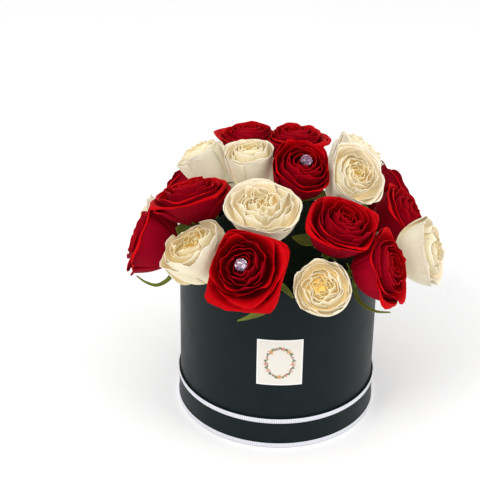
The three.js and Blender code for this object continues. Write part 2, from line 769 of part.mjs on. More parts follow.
/** The label as a thin plate bent round the front of the box. */
function labelSolid() {
  const radius = BOX_RADIUS + CLEARANCE + LABEL_THICK / 2;
  const half = LABEL_WIDTH / 2 / radius;
  const columns = [-1, -0.6, -0.2, 0.2, 0.6, 1];
  const middle = radians(LABEL_TURN);
  const grid = columns.map((c) => {
    const turn = middle + half * c;
    const x = radius * Math.sin(turn);
    const y = -radius * Math.cos(turn);
    return [LABEL_MIDDLE - LABEL_HEIGHT / 2, LABEL_MIDDLE + LABEL_HEIGHT / 2].map((z) => [x, y, z]);
  });
  const normals = columns.map((c) => {
    const turn = middle + half * c;
    return [0, 1].map(() => [Math.sin(turn), -Math.cos(turn), 0]);
  });
  return plate(grid, normals, LABEL_THICK);
}

const LOOK = {
  board: { color: 0x2a3134, roughness: 0.5 },
  ribbon: { color: 0xe6e8ea, roughness: 0.45 },
  label: { color: 0xf3eee4, roughness: 0.7 },
  liner: { color: 0x9fb0a4, roughness: 0.3 },
  foam: { color: 0x1f3a26, roughness: 0.95 },
  red: { color: 0xb30610, roughness: 0.6 },
  cream: { color: 0xf1e2c4, roughness: 0.6 },
  green: { color: 0x4d6b2c, roughness: 0.6 },
  crystal: { color: 0xe9e6f2, roughness: 0.05 },
};

function mesh(name, shape, look) {
  const geometry = shape instanceof THREE.BufferGeometry ? shape : oneBody(shape);
  geometry.computeVertexNormals();
  const made = new THREE.Mesh(geometry, new THREE.MeshStandardMaterial(LOOK[look]));
  made.name = name;
  return made;
}

const roses = ROSES.map(roseFrom);
cellPlanes(roses).forEach((planes, i) => {
  roses[i].planes = planes;
});

const foamBlock = turned([
  [0, FOAM_FOOT],
  [FOAM_RADIUS, FOAM_FOOT],
  [FOAM_RADIUS, FOAM_SHOULDER],
  [FOAM_CROWN_RADIUS, FOAM_TOP],
  [0, FOAM_TOP],
]);

const part = new THREE.Group();
part.name = "flower_hat_box";
part.add(
  mesh("box_wall", tube(BOX_RADIUS - BOARD, BOX_RADIUS, BOX_FOOT, BOX_TOP), "board"),
  mesh("box_floor", disc(BOX_RADIUS - BOARD - CLEARANCE, BOX_FOOT, FLOOR_TOP), "board"),
  mesh("lid_rim", tube(BOX_RADIUS + CLEARANCE, LID_RADIUS, 0, LID_HEIGHT), "board"),
  mesh("lid_panel", disc(BOX_RADIUS, 0, BOARD), "board"),
  mesh(
    "trim_upper",
    tube(LID_RADIUS + CLEARANCE, LID_RADIUS + CLEARANCE + TRIM_THICK, TRIM_UPPER_FOOT, TRIM_UPPER_FOOT + TRIM_WIDTH),
    "ribbon",
  ),
  mesh(
    "trim_lower",
    tube(LID_RADIUS + CLEARANCE, LID_RADIUS + CLEARANCE + TRIM_THICK, TRIM_LOWER_FOOT, TRIM_LOWER_FOOT + TRIM_WIDTH),
    "ribbon",
  ),
  mesh("label", labelSolid(), "label"),
  mesh(
    "liner",
    turned([
      [0, FLOOR_TOP + CLEARANCE],
      [LINER_RADIUS, FLOOR_TOP + CLEARANCE],
      [LINER_RADIUS, LINER_TOP],
      [LINER_RADIUS - LINER_THICK, LINER_TOP],
      [LINER_RADIUS - LINER_THICK, FLOOR_TOP + CLEARANCE + LINER_THICK],
      [0, FLOOR_TOP + CLEARANCE + LINER_THICK],
    ]),
    "liner",
  ),
  mesh("foam", asSolid(foamBlock).subtract(Manifold.union(roses.map(stemHole))), "foam"),
);

let gems = 0;
roses.forEach((rose) => {
  const look = rose.name.startsWith("red") ? "red" : "cream";
  part.add(mesh(`${rose.name}_petals`, bloom(rose), look));
  part.add(mesh(`${rose.name}_stem`, greenery(rose), "green"));
  if (GEM_ROSES.includes(rose.name)) {
    gems += 1;
    part.add(mesh(`crystal_pin_${gems}`, gem(rose, 0), "crystal"));
  }
});

export default part;
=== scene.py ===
"""Flower hat box: the looks of a round card box filled with twenty-four roses.

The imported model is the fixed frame. Every piece here stands where its solid stands, with the
origin under the middle of the box and the label facing -Y. Sizes are worked out in
millimetres and turned into metres as each mesh is made.
"""

import logging
import math
from dataclasses import dataclass, field
from enum import Enum

import bpy
import numpy as np
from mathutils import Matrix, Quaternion, Vector


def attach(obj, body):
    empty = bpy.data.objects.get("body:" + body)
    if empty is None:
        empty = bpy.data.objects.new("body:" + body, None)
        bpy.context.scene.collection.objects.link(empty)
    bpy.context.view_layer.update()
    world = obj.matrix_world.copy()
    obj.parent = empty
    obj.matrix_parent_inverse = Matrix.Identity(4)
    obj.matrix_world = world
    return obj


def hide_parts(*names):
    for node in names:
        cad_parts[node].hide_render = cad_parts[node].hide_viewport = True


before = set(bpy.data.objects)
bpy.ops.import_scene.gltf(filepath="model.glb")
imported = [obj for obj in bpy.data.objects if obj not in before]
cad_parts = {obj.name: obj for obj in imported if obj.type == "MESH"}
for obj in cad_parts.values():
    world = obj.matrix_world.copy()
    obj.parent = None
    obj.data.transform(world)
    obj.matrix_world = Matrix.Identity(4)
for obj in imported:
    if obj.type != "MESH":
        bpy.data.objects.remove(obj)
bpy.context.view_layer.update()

LOG = logging.getLogger("flower_hat_box")
MM = 0.001
TINY = 1e-9
BODY = "root"
GOLDEN_TURN = 137.5

Point = tuple[float, float, float]
Colour = tuple[float, float, float]
Socket = bpy.types.NodeSocket

# The points of a mesh, and its faces as arrays with one number of corners each
Surface = tuple[np.ndarray, list[np.ndarray]]


class Slot(Enum):
    """Material slots of the record; no piece here takes its finish from them."""

    CARD = "black_card"
    RIBBON = "silver_ribbon"
    LABEL = "label_paper"
    FILM = "liner_film"
    RED = "red_petal"
    CREAM = "cream_petal"
    GREEN = "rose_green"
    CRYSTAL = "crystal"


class Variety(Enum):
    """The two kinds of rose in the bouquet."""

    RED = "red"
    CREAM = "cream"


# Meshes


def unit(vectors: np.ndarray) -> np.ndarray:
    """Vectors of the same direction and of length one."""
    return vectors / np.maximum(np.linalg.norm(vectors, axis=-1, keepdims=True), TINY)


def bezier(s: np.ndarray, a: np.ndarray, b: np.ndarray, c: np.ndarray, d: np.ndarray) -> np.ndarray:
    """Cubic curve q^3 a + 3 q^2 s b + 3 q s^2 c + s^3 d, with q = 1 - s."""
    q = 1 - s
    return q**3 * a + 3 * q * q * s * b + 3 * q * s * s * c + s**3 * d


def quad_grid(index: np.ndarray) -> np.ndarray:
    """Quads between neighbouring rows and columns of one or more grids of vertex numbers.

    Args:
        index: Vertex numbers, the last two axes being the grid.

    Returns:
        An array of shape (quads, 4), wound from the first axis towards the second.
    """
    corners = [index[..., :-1, :-1], index[..., 1:, :-1], index[..., 1:, 1:], index[..., :-1, 1:]]
    return np.stack(corners, -1).reshape(-1, 4)


def build_mesh(
    name: str,
    points: np.ndarray,
    faces: list[np.ndarray],
    values: dict[str, np.ndarray] | None = None,
    uv: np.ndarray | None = None,
    smooth: bool = True,
) -> bpy.types.Object:
    """Puts points and faces into a mesh object at the origin.

    Args:
        name: Name of the object.
        points: Points in millimetres, shape (count, 3).
        faces: Arrays of vertex numbers, each of shape (faces, corners).
        values: Numbers or colours to keep at each vertex, by attribute name.
        uv: Place of each vertex on the flat petal or leaf, shape (count, 2).
        smooth: Whether the faces are shaded smooth.

    Returns:
        The new object, linked to the scene.
    """
    mesh = bpy.data.meshes.new(name)
    loops = np.concatenate([block.reshape(-1) for block in faces]).astype(np.int32)
    sizes = np.concatenate([np.full(len(block), block.shape[1]) for block in faces])
    starts = np.concatenate([[0], np.cumsum(sizes)[:-1]])
    mesh.vertices.add(len(points))
    mesh.vertices.foreach_set("co", (np.asarray(points, float) * MM).ravel())
    mesh.loops.add(len(loops))
    mesh.loops.foreach_set("vertex_index", loops)
    mesh.polygons.add(len(sizes))
    mesh.polygons.foreach_set("loop_start", starts.astype(np.int32))
    mesh.polygons.foreach_set("loop_total", sizes.astype(np.int32))
    mesh.polygons.foreach_set("use_smooth", np.full(len(sizes), smooth))
    mesh.update()
    for key, value in (values or {}).items():
        kind, part = ("FLOAT_COLOR", "color") if value.ndim == 2 else ("FLOAT", "value")
        made = mesh.attributes.new(key, kind, "POINT")
        made.data.foreach_set(part, value.astype(np.float32).ravel())
    if uv is not None:
        layer = mesh.uv_layers.new(name="UVMap")
        layer.data.foreach_set("uv", uv[loops].astype(np.float32).ravel())
    mesh.validate()
    obj = bpy.data.objects.new(name, mesh)
    bpy.context.scene.collection.objects.link(obj)
    return obj


def declare(obj: bpy.types.Object, skin: bpy.types.Material, node: str) -> None:
    """Dresses a piece, rides it on the body and hides the part of the model whose place it takes.

    Args:
        obj: The piece.
        skin: Its material.
        node: Node whose place it takes.
    """
    obj.data.materials.append(skin)
    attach(obj, BODY)
    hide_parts(node)
    LOG.info("%s: %d faces", obj.name, len(obj.data.polygons))


def lathe(section: np.ndarray, sides: int, ripple: np.ndarray | None = None) -> Surface:
    """Turns a section round the upright axis.

    A point at radius r and height z goes to (r sin t, -r cos t, z) for each turn t. A section
    that starts on the axis closes in a pole at both ends, and any other one closes on itself.

    Args:
        section: Pairs of radius and height, up the outside and down the inside.
        sides: Number of steps round.
        ripple: What is added to each radius, shape (sides, pairs).

    Returns:
        Points and faces.
    """
    poles = section[0, 0] == 0
    inner = section[1:-1] if poles else section
    turn = np.linspace(0, 2 * np.pi, sides, endpoint=False)[:, None]
    radius = inner[None, :, 0] + (np.zeros((sides, 1)) if ripple is None else ripple)
    height = np.broadcast_to(inner[None, :, 1], radius.shape)
    points = np.stack([radius * np.sin(turn), -radius * np.cos(turn), height], -1).reshape(-1, 3)
    index = np.arange(len(points)).reshape(sides, -1)
    around = np.concatenate([index, index[:1]])
    if not poles:
        closed = np.concatenate([around, around[:, :1]], 1)
        return points, [quad_grid(closed)]
    first, last = len(points), len(points) + 1
    points = np.concatenate([points, [[0, 0, section[0, 1]], [0, 0, section[-1, 1]]]])
    foot = np.stack([np.full(sides, first), around[1:, 0], around[:-1, 0]], -1)
    top = np.stack([np.full(sides, last), around[:-1, -1], around[1:, -1]], -1)
    return points, [quad_grid(around), foot, top]


def rounded(
    corners: list[tuple[float, float]], fillet: float, steps: int = 4, wraps: bool = True
) -> np.ndarray:
    """Rounds the corners of a section with short quadratic curves.

    Each corner c between neighbours a and b becomes the curve (1-t)^2 p + 2t(1-t) c + t^2 q,
    where p and q lie a fillet away from c towards a and b, but never past 0.45 of the way.

    Args:
        corners: Pairs of radius and height.
        fillet: Length taken off on each side of a corner.
        steps: Points on each curve.
        wraps: Whether the section closes on itself; otherwise its two ends are kept.

    Returns:
        The rounded section.
    """
    farthest = 0.45
    c = np.array(corners, float)

    def leave(neighbour: np.ndarray) -> np.ndarray:
        """Where each curve meets the straight side towards a neighbour."""
        length = np.maximum(np.linalg.norm(neighbour - c, axis=1), TINY)
        return (c + (neighbour - c) * np.minimum(fillet / length, farthest)[:, None])[:, None]

    p, q = leave(np.roll(c, 1, 0)), leave(np.roll(c, -1, 0))
    t = np.linspace(0, 1, steps)[None, :, None]
    curve = (1 - t) ** 2 * p + 2 * t * (1 - t) * c[:, None] + t**2 * q
    if wraps:
        return curve.reshape(-1, 2)
    return np.concatenate([c[:1], curve[1:-1].reshape(-1, 2), c[-1:]])


def thick_sheets(grids: np.ndarray, thick: np.ndarray | float) -> Surface:
    """Gives a stack of curved sheets an even wall and closes each all round.

    A face point is the grid point plus or minus half the wall along the unit normal, which is
    the cross product of the steps along the two grid axes.

    Args:
        grids: Points, shape (sheets, across, along, 3).
        thick: Wall thickness, one number or one for each grid point.

    Returns:
        Points, the first half on the outer side, and faces.
    """
    normal = unit(np.cross(np.gradient(grids, axis=1), np.gradient(grids, axis=2)))
    wall = normal * (np.asarray(thick)[..., None] / 2)
    points = np.concatenate([(grids + wall).reshape(-1, 3), (grids - wall).reshape(-1, 3)])
    index = np.arange(grids[..., 0].size).reshape(grids.shape[:3])
    far = index.size

    def strip(edge: np.ndarray) -> np.ndarray:
        """Quads over the rim between the two faces."""
        return np.stack([edge[:, :-1], edge[:, :-1] + far, edge[:, 1:] + far, edge[:, 1:]], -1).reshape(-1, 4)

    rims = [
        strip(index[:, :, 0]),
        strip(index[:, :, -1])[:, ::-1],
        strip(index[:, 0, :])[:, ::-1],
        strip(index[:, -1, :]),
    ]
    front = quad_grid(index)
    return points, [front, front[:, ::-1] + far, *rims]


def tube(line: np.ndarray, radius: np.ndarray, sides: int, first: np.ndarray) -> Surface:
    """Carries a round section along a line and closes its ends with a point each.

    Station k is a circle of radius r_k round line point k, in the plane across the line, its
    first point turned towards the given direction.

    Args:
        line: Points along the middle, shape (stations, 3).
        radius: Radius at each station.
        sides: Points round the section.
        first: Direction of the first point of each circle.

    Returns:
        Points and faces.
    """
    along = unit(np.gradient(line, axis=0))
    a = unit(first - along * (along @ first)[:, None])
    b = np.cross(along, a)
    turn = np.linspace(0, 2 * np.pi, sides, endpoint=False)
    ring = np.cos(turn)[None, :, None] * a[:, None] + np.sin(turn)[None, :, None] * b[:, None]
    points = (line[:, None] + ring * radius[:, None, None]).reshape(-1, 3)
    index = np.arange(len(points)).reshape(len(line), sides)
    around = np.concatenate([index, index[:, :1]], 1)
    ends = len(points)
    points = np.concatenate([points, line[:1], line[-1:]])
    start = np.stack([np.full(sides, ends), around[0, 1:], around[0, :-1]], -1)
    finish = np.stack([np.full(sides, ends + 1), around[-1, :-1], around[-1, 1:]], -1)
    return points, [quad_grid(around.T), start, finish]


def joined(parts: list[Surface]) -> Surface:
    """Puts several surfaces into one.

    Args:
        parts: The surfaces, in order.

    Returns:
        All points and faces, each face numbered by its points' new places.
    """
    points, faces, count = [], [], 0
    for own_points, own_faces in parts:
        points.append(own_points)
        faces.extend(block + count for block in own_faces)
        count += len(own_points)
    return np.concatenate(points), faces


# Shader building


class Nodes:
    """A node tree with short ways to add and join nodes."""

    colour_a, colour_b, colour_result = 6, 7, 2

    def __init__(self, tree: bpy.types.NodeTree) -> None:
        """Keeps the tree to build in."""
        self.tree = tree

    def add(self, kind: str, **settings: object) -> bpy.types.Node:
        """Adds a node and sets its own properties.

        Args:
            kind: Type of the node.
            settings: Properties of the node by name.

        Returns:
            The new node.
        """
        node = self.tree.nodes.new(kind)
        for key, value in settings.items():
            setattr(node, key, value)
        return node

    def put(self, socket: Socket, value: object) -> None:
        """Links a socket to an output, or sets its value.

        Args:
            socket: The input socket.
            value: An output, or a number or colour.
        """
        if isinstance(value, Socket):
            self.tree.links.new(value, socket)
        else:
            socket.default_value = value

    def math(self, operation: str, a: object, b: object = 0.0, clamp: bool = False) -> Socket:
        """One sum on two numbers.

        Args:
            operation: Name of the sum.
            a: First number, or the output that gives it.
            b: Second number, or the output that gives it.
            clamp: Whether the result is held between 0 and 1.

        Returns:
            The result.
        """
        node = self.add("ShaderNodeMath", operation=operation, use_clamp=clamp)
        self.put(node.inputs[0], a)
        self.put(node.inputs[1], b)
        return node.outputs[0]

    def times(self, product: object, *factors: object) -> Socket:
        """The product of two or more numbers.

        Args:
            product: The first number, or the output that gives it.
            factors: The others.

        Returns:
            The product.
        """
        for factor in factors:
            product = self.math("MULTIPLY", product, factor)
        return product

    def less(self, value: object, share: float) -> Socket:
        """One less a share of a number, never below zero."""
        return self.math("SUBTRACT", 1.0, self.times(value, share), clamp=True)

    def ramp(
        self, value: object, low: float, high: float, to_low: float = 0.0, to_high: float = 1.0
    ) -> Socket:
        """A number eased from one range to another, by 3t^2 - 2t^3 for its share t of the first.

        Args:
            value: The number, or the output that gives it.
            low: Start of the first range.
            high: End of the first range.
            to_low: What the start becomes.
            to_high: What the end becomes.

        Returns:
            The eased number.
        """
        node = self.add("ShaderNodeMapRange", interpolation_type="SMOOTHSTEP")
        for socket, given in zip(node.inputs, (value, low, high, to_low, to_high)):
            self.put(socket, given)
        return node.outputs["Result"]

    def spread(self, noise: Socket, to_low: float, to_high: float) -> Socket:
        """Noise eased from one value to another over 0.3 to 0.7, where most of it lies."""
        return self.ramp(noise, 0.3, 0.7, to_low, to_high)

    def mix(self, share: object, a: object, b: object, blend: str = "MIX") -> Socket:
        """A colour between two colours.

        Args:
            share: How much of the second shows.
            a: First colour, or the output that gives it.
            b: Second colour, or the output that gives it.
            blend: How the second is laid over the first.

        Returns:
            The mixed colour.
        """
        node = self.add("ShaderNodeMix", data_type="RGBA", blend_type=blend)
        self.put(node.inputs["Factor"], share)
        for place, colour in ((self.colour_a, a), (self.colour_b, b)):
            self.put(node.inputs[place], colour if isinstance(colour, Socket) else (*colour, 1.0))
        return node.outputs[self.colour_result]

    def attribute(self, name: str, output: str = "Fac") -> Socket:
        """An attribute of the mesh."""
        return self.add("ShaderNodeAttribute", attribute_name=name).outputs[output]

    def noise(self, scale: object, detail: float = 3.0, place: object = None, rough: float = 0.5) -> Socket:
        """Soft noise on Object coordinates, or on the place given.

        Args:
            scale: How fine it is, or the output that says so.
            detail: Number of finer layers.
            place: Coordinates to read instead.
            rough: Weight of the finer layers.

        Returns:
            The noise.
        """
        node = self.add("ShaderNodeTexNoise")
        self.put(node.inputs["Vector"], self.object_place() if place is None else place)
        self.put(node.inputs["Scale"], scale)
        self.put(node.inputs["Detail"], detail)
        self.put(node.inputs["Roughness"], rough)
        return node.outputs["Fac"]

    def object_place(self) -> Socket:
        """Object coordinates."""
        return self.add("ShaderNodeTexCoord").outputs["Object"]

    def uv_place(self) -> Socket:
        """The piece's own UV map."""
        return self.add("ShaderNodeUVMap", uv_map="UVMap").outputs["UV"]

    def bump(self, height: object, strength: float, distance: float) -> Socket:
        """A normal raised by a height.

        Args:
            height: The output that gives the height.
            strength: How far it counts.
            distance: Metres that a height of one stands for.

        Returns:
            The normal.
        """
        node = self.add("ShaderNodeBump")
        self.put(node.inputs["Height"], height)
        self.put(node.inputs["Strength"], strength)
        self.put(node.inputs["Distance"], distance)
        return node.outputs["Normal"]

    def group(self, tree: bpy.types.NodeTree, name: str, value: float) -> tuple[Socket, Socket]:
        """Places a shared group with its own value.

        Args:
            tree: The group.
            name: Name of its input.
            value: What the input is set to.

        Returns:
            Its mask and its height.
        """
        node = self.add("ShaderNodeGroup", node_tree=tree)
        node.inputs[name].default_value = value
        return node.outputs["Mask"], node.outputs["Height"]


def new_group(name: str, given: str) -> tuple[Nodes, Socket, bpy.types.Node]:
    """An empty node group with one number in and a mask and a height out.

    Args:
        name: Name of the group.
        given: Name of its input.

    Returns:
        The tree to build in, the given number and the node that takes the results.
    """
    group = bpy.data.node_groups.new(name, "ShaderNodeTree")
    group.interface.new_socket(given, in_out="INPUT", socket_type="NodeSocketFloat")
    group.interface.new_socket("Mask", in_out="OUTPUT", socket_type="NodeSocketFloat")
    group.interface.new_socket("Height", in_out="OUTPUT", socket_type="NodeSocketFloat")
    nodes = Nodes(group)
    return nodes, nodes.add("NodeGroupInput").outputs[given], nodes.add("NodeGroupOutput")


def grain_group() -> bpy.types.NodeTree:
    """Fine grain shared by card, paper and foam, from noise at two scales.

    Returns:
        The group: its mask is the mean of fine and broad noise, its height the fine one.
    """
    found = bpy.data.node_groups.get("fine_grain")
    if found:
        return found
    nodes, scale, out = new_group("fine_grain", "Scale")
    fine = nodes.noise(scale, 4.0)
    broad = nodes.noise(nodes.times(scale, 0.03), 2.0)
    nodes.put(out.inputs["Mask"], nodes.math("ADD", nodes.times(fine, 0.5), nodes.times(broad, 0.5)))
    nodes.put(out.inputs["Height"], fine)
    return nodes.tree


def vein_group() -> bpy.types.NodeTree:
    """Veins shared by petals and leaves, on the piece's UV map.

    Lines run from the base to the tip, as many across as the Count input says. They are bent by
    noise and fade in towards the tip.

    Returns:
        The group: its mask marks the veins, and its height adds fine noise to them.
    """
    found = bpy.data.node_groups.get("petal_veins")
    if found:
        return found
    nodes, count, out = new_group("petal_veins", "Count")
    place = nodes.uv_place()
    parts = nodes.add("ShaderNodeSeparateXYZ")
    nodes.put(parts.inputs[0], place)
    bend = nodes.times(nodes.math("SUBTRACT", nodes.noise(5.0, 3.0, place), 0.5), 0.09)
    across = nodes.math("ADD", parts.outputs["X"], bend)
    wave = nodes.math("SINE", nodes.times(across, count, 2 * math.pi))
    fade = nodes.ramp(parts.outputs["Y"], 0.15, 0.9, 0.35, 1.0)
    mask = nodes.times(nodes.ramp(wave, 0.55, 1.0), fade)
    nodes.put(out.inputs["Mask"], mask)
    fine = nodes.noise(60.0, 4.0, place)
    nodes.put(out.inputs["Height"], nodes.math("ADD", mask, nodes.times(fine, 0.35)))
    return nodes.tree


def new_material(name: str) -> tuple[bpy.types.Material, Nodes, bpy.types.Node]:
    """An empty material.

    Args:
        name: Its name.

    Returns:
        The material, the tree to build in and its shader.
    """
    material = bpy.data.materials.new(name)
    material.use_nodes = True
    return material, Nodes(material.node_tree), material.node_tree.nodes["Principled BSDF"]


# Finishes


@dataclass(frozen=True)
class PetalFinish:
    """Skin of a petal: one colour inside, one on the back, painted shade towards the base, a painted
    highlight on the lip and a painted glow.

    Attributes:
        name: Name of the material.
        inside: Colour of the side that faces the heart.
        back: Colour of the other side.
        depth_shade: Painted shade towards the base, darker or warmer.
        heart: Colour of the innermost petals.
        lip: Painted highlight on the lip.
        base: Colour near the base of the outermost petals.
        lip_highlight_share: How much of the painted lip highlight shows.
        lip_highlight_fade: How much of that is lost at the heart.
        base_share: How much of the base's colour shows.
        vein_shade: How much darker a vein is.
        roughness: Roughness that noise varies a little.
        specular: Specular level.
        sheen: Weight of the sheen.
        sheen_tint: Colour of the sheen.
        painted_glow: Painted light, emitted as if it came through between the petals, strongest near their
            base.
        painted_glow_heart: The same at the heart.
        painted_glow_strength: Its strength.
        heart_share: How much of the heart's colour shows.
        depth_shade_loss: How much of the painted shade the outermost petals lose.
        veins: Number of veins across.
    """

    name: str
    inside: Colour
    back: Colour
    depth_shade: Colour
    heart: Colour
    lip: Colour
    base: Colour
    lip_highlight_share: float
    lip_highlight_fade: float
    base_share: float
    vein_shade: float
    roughness: float
    specular: float
    sheen: float
    sheen_tint: Colour
    painted_glow: Colour
    painted_glow_heart: Colour
    painted_glow_strength: float
    heart_share: float = 0.85
    depth_shade_loss: float = 0.9
    veins: float = 9.0

    def material(self) -> bpy.types.Material:
        """Mixes the colours by where a point lies on its petal and adds veins.

        Returns:
            The material.
        """
        material, nodes, shader = new_material(self.name)
        along, heart = nodes.attribute("along"), nodes.attribute("heart")
        outermost = nodes.attribute("outermost")
        veins, ridges = nodes.group(vein_group(), "Count", self.veins)
        colour = nodes.mix(nodes.attribute("inside"), self.back, self.inside)
        colour = nodes.mix(nodes.times(heart, self.heart_share), colour, self.heart)
        # Painted shade: darker or warmer towards the base of each petal, less on the outermost ones
        depth_shade = nodes.times(nodes.ramp(along, 0.1, 0.72, 1.0, 0.0), nodes.less(outermost, self.depth_shade_loss))
        colour = nodes.mix(depth_shade, colour, self.depth_shade)
        base = nodes.times(outermost, self.base_share, nodes.ramp(along, 0.2, 0.8, 1.0, 0.0))
        colour = nodes.mix(base, colour, self.base)
        # Painted highlight on the lip, fading towards the heart
        lip = nodes.times(nodes.attribute("lip"), self.lip_highlight_share, nodes.less(heart, self.lip_highlight_fade))
        colour = nodes.mix(lip, colour, self.lip)
        tone = nodes.ramp(nodes.attribute("tone"), 0.0, 1.0, 0.92, 1.04)
        cloud = nodes.spread(nodes.noise(60.0, 2.0), 0.96, 1.03)
        level = nodes.times(tone, cloud, nodes.less(veins, self.vein_shade))
        grey = nodes.add("ShaderNodeCombineColor")
        for socket in grey.inputs:
            nodes.put(socket, level)
        colour = nodes.mix(1.0, colour, grey.outputs["Color"], "MULTIPLY")
        rough = nodes.spread(nodes.noise(400.0, 2.0), self.roughness - 0.06, self.roughness + 0.06)
        # Painted glow: emission that lifts the shade, strongest near the base of the petals and at the heart
        lit = nodes.times(nodes.ramp(along, 0.1, 0.95, 1.0, 0.1), nodes.ramp(heart, 0.0, 1.0, 0.7, 1.0))
        painted_glow = nodes.mix(lit, (0.0, 0.0, 0.0), nodes.mix(heart, self.painted_glow, self.painted_glow_heart))
        nodes.put(shader.inputs["Base Color"], colour)
        nodes.put(shader.inputs["Roughness"], rough)
        nodes.put(shader.inputs["Normal"], nodes.bump(ridges, 0.12, 0.0003))
        nodes.put(shader.inputs["Emission Color"], painted_glow)
        shader.inputs["Emission Strength"].default_value = self.painted_glow_strength
        shader.inputs["Specular IOR Level"].default_value = self.specular
        shader.inputs["Sheen Weight"].default_value = self.sheen
        shader.inputs["Sheen Tint"].default_value = (*self.sheen_tint, 1.0)
        return material


RED_FINISH = PetalFinish(
    name="red_rose_petal",
    inside=(0.47, 0.0, 0.003),
    back=(0.28, 0.0, 0.011),
    depth_shade=(0.12, 0.0, 0.002),
    heart=(0.22, 0.0, 0.003),
    lip=(0.58, 0.002, 0.004),
    base=(0.22, 0.0, 0.014),
    lip_highlight_share=0.5,
    lip_highlight_fade=0.2,
    base_share=0.3,
    vein_shade=0.10,
    roughness=0.6,
    specular=0.04,
    sheen=0.0,
    sheen_tint=(1.0, 0.1, 0.15),
    painted_glow=(0.3, 0.0, 0.004),
    painted_glow_heart=(0.3, 0.0, 0.004),
    painted_glow_strength=0.08,
)

CREAM_FINISH = PetalFinish(
    name="cream_rose_petal",
    inside=(0.84, 0.74, 0.56),
    back=(0.74, 0.69, 0.53),
    depth_shade=(0.83, 0.64, 0.36),
    heart=(0.87, 0.73, 0.39),
    lip=(0.86, 0.79, 0.69),
    base=(0.62, 0.64, 0.47),
    lip_highlight_share=0.8,
    lip_highlight_fade=0.9,
    base_share=0.8,
    vein_shade=0.03,
    roughness=0.6,
    specular=0.12,
    sheen=0.02,
    sheen_tint=(1.0, 0.95, 0.85),
    painted_glow=(1.0, 0.84, 0.60),
    painted_glow_heart=(1.0, 0.73, 0.24),
    painted_glow_strength=0.46,
)


@dataclass(frozen=True)
class LeafFinish:
    """Waxy green of stems, sepals and leaves, paler along the veins and at the tips."""

    name: str = "rose_green"
    colour: Colour = (0.085, 0.12, 0.010)
    pale: Colour = (0.27, 0.30, 0.035)
    dark: Colour = (0.018, 0.042, 0.008)
    tip_share: float = 0.55
    vein_share: float = 0.25
    veins: float = 5.0
    specular: float = 0.22

    def material(self) -> bpy.types.Material:
        """Mixes the greens by noise, veins and the distance from the stem.

        Returns:
            The material.
        """
        material, nodes, shader = new_material(self.name)
        veins, ridges = nodes.group(vein_group(), "Count", self.veins)
        colour = nodes.mix(nodes.ramp(nodes.noise(70.0, 3.0), 0.35, 0.7), self.dark, self.colour)
        colour = nodes.mix(nodes.times(nodes.attribute("tip"), self.tip_share), colour, self.pale)
        colour = nodes.mix(nodes.times(veins, self.vein_share), colour, self.pale)
        nodes.put(shader.inputs["Base Color"], colour)
        nodes.put(shader.inputs["Roughness"], nodes.spread(nodes.noise(300.0), 0.36, 0.5))
        nodes.put(shader.inputs["Normal"], nodes.bump(ridges, 0.4, 0.0004))
        shader.inputs["Specular IOR Level"].default_value = self.specular
        return material


@dataclass(frozen=True)
class CardFinish:
    """Slate-black covering paper over board, satin, with a fine grain and paler cut edges."""

    name: str = "slate_card"
    colour: Colour = (0.003, 0.008, 0.009)
    worn: Colour = (0.009, 0.015, 0.016)
    grain: float = 1600.0
    grain_share: float = 0.35
    edge_share: float = 0.5
    roughness: float = 0.42
    specular: float = 0.12

    def material(self) -> bpy.types.Material:
        """Grain from the shared group lifts colour, roughness and height a little.

        Returns:
            The material.
        """
        material, nodes, shader = new_material(self.name)
        grain, height = nodes.group(grain_group(), "Scale", self.grain)
        specks = nodes.times(nodes.ramp(grain, 0.35, 0.65), self.grain_share)
        colour = nodes.mix(specks, self.colour, self.worn)
        colour = nodes.mix(nodes.times(nodes.attribute("edge"), self.edge_share), colour, self.worn)
        rough = nodes.spread(grain, self.roughness - 0.05, self.roughness + 0.07)
        nodes.put(shader.inputs["Base Color"], colour)
        nodes.put(shader.inputs["Roughness"], rough)
        nodes.put(shader.inputs["Normal"], nodes.bump(height, 0.18, 0.0002))
        shader.inputs["Specular IOR Level"].default_value = self.specular
        return material


@dataclass(frozen=True)
class RibbonFinish:
    """Silver-white ribbed ribbon with a satin thread."""

    name: str = "silver_ribbon"
    thread: Colour = (0.81, 0.81, 0.86)
    shade: Colour = (0.54, 0.55, 0.61)
    threads: float = 900.0
    flatten: Point = (1.0, 1.0, 6.0)
    metallic: float = 0.15
    sheen: float = 0.2

    def material(self) -> bpy.types.Material:
        """Threads are noise drawn out along the ribbon, and the grooves are darker with painted shade.

        Returns:
            The material.
        """
        material, nodes, shader = new_material(self.name)
        stretch = nodes.add("ShaderNodeMapping")
        nodes.put(stretch.inputs["Vector"], nodes.object_place())
        stretch.inputs["Scale"].default_value = self.flatten
        thread = nodes.noise(self.threads, 2.0, stretch.outputs["Vector"])
        # Painted shade in the grooves between the ribs
        colour = nodes.mix(nodes.attribute("groove"), self.thread, self.shade)
        colour = nodes.mix(nodes.ramp(thread, 0.35, 0.7, 0.25, 0.0), colour, self.shade)
        nodes.put(shader.inputs["Base Color"], colour)
        nodes.put(shader.inputs["Roughness"], nodes.spread(thread, 0.34, 0.5))
        nodes.put(shader.inputs["Normal"], nodes.bump(thread, 0.25, 0.0002))
        shader.inputs["Metallic"].default_value = self.metallic
        shader.inputs["Sheen Weight"].default_value = self.sheen
        return material


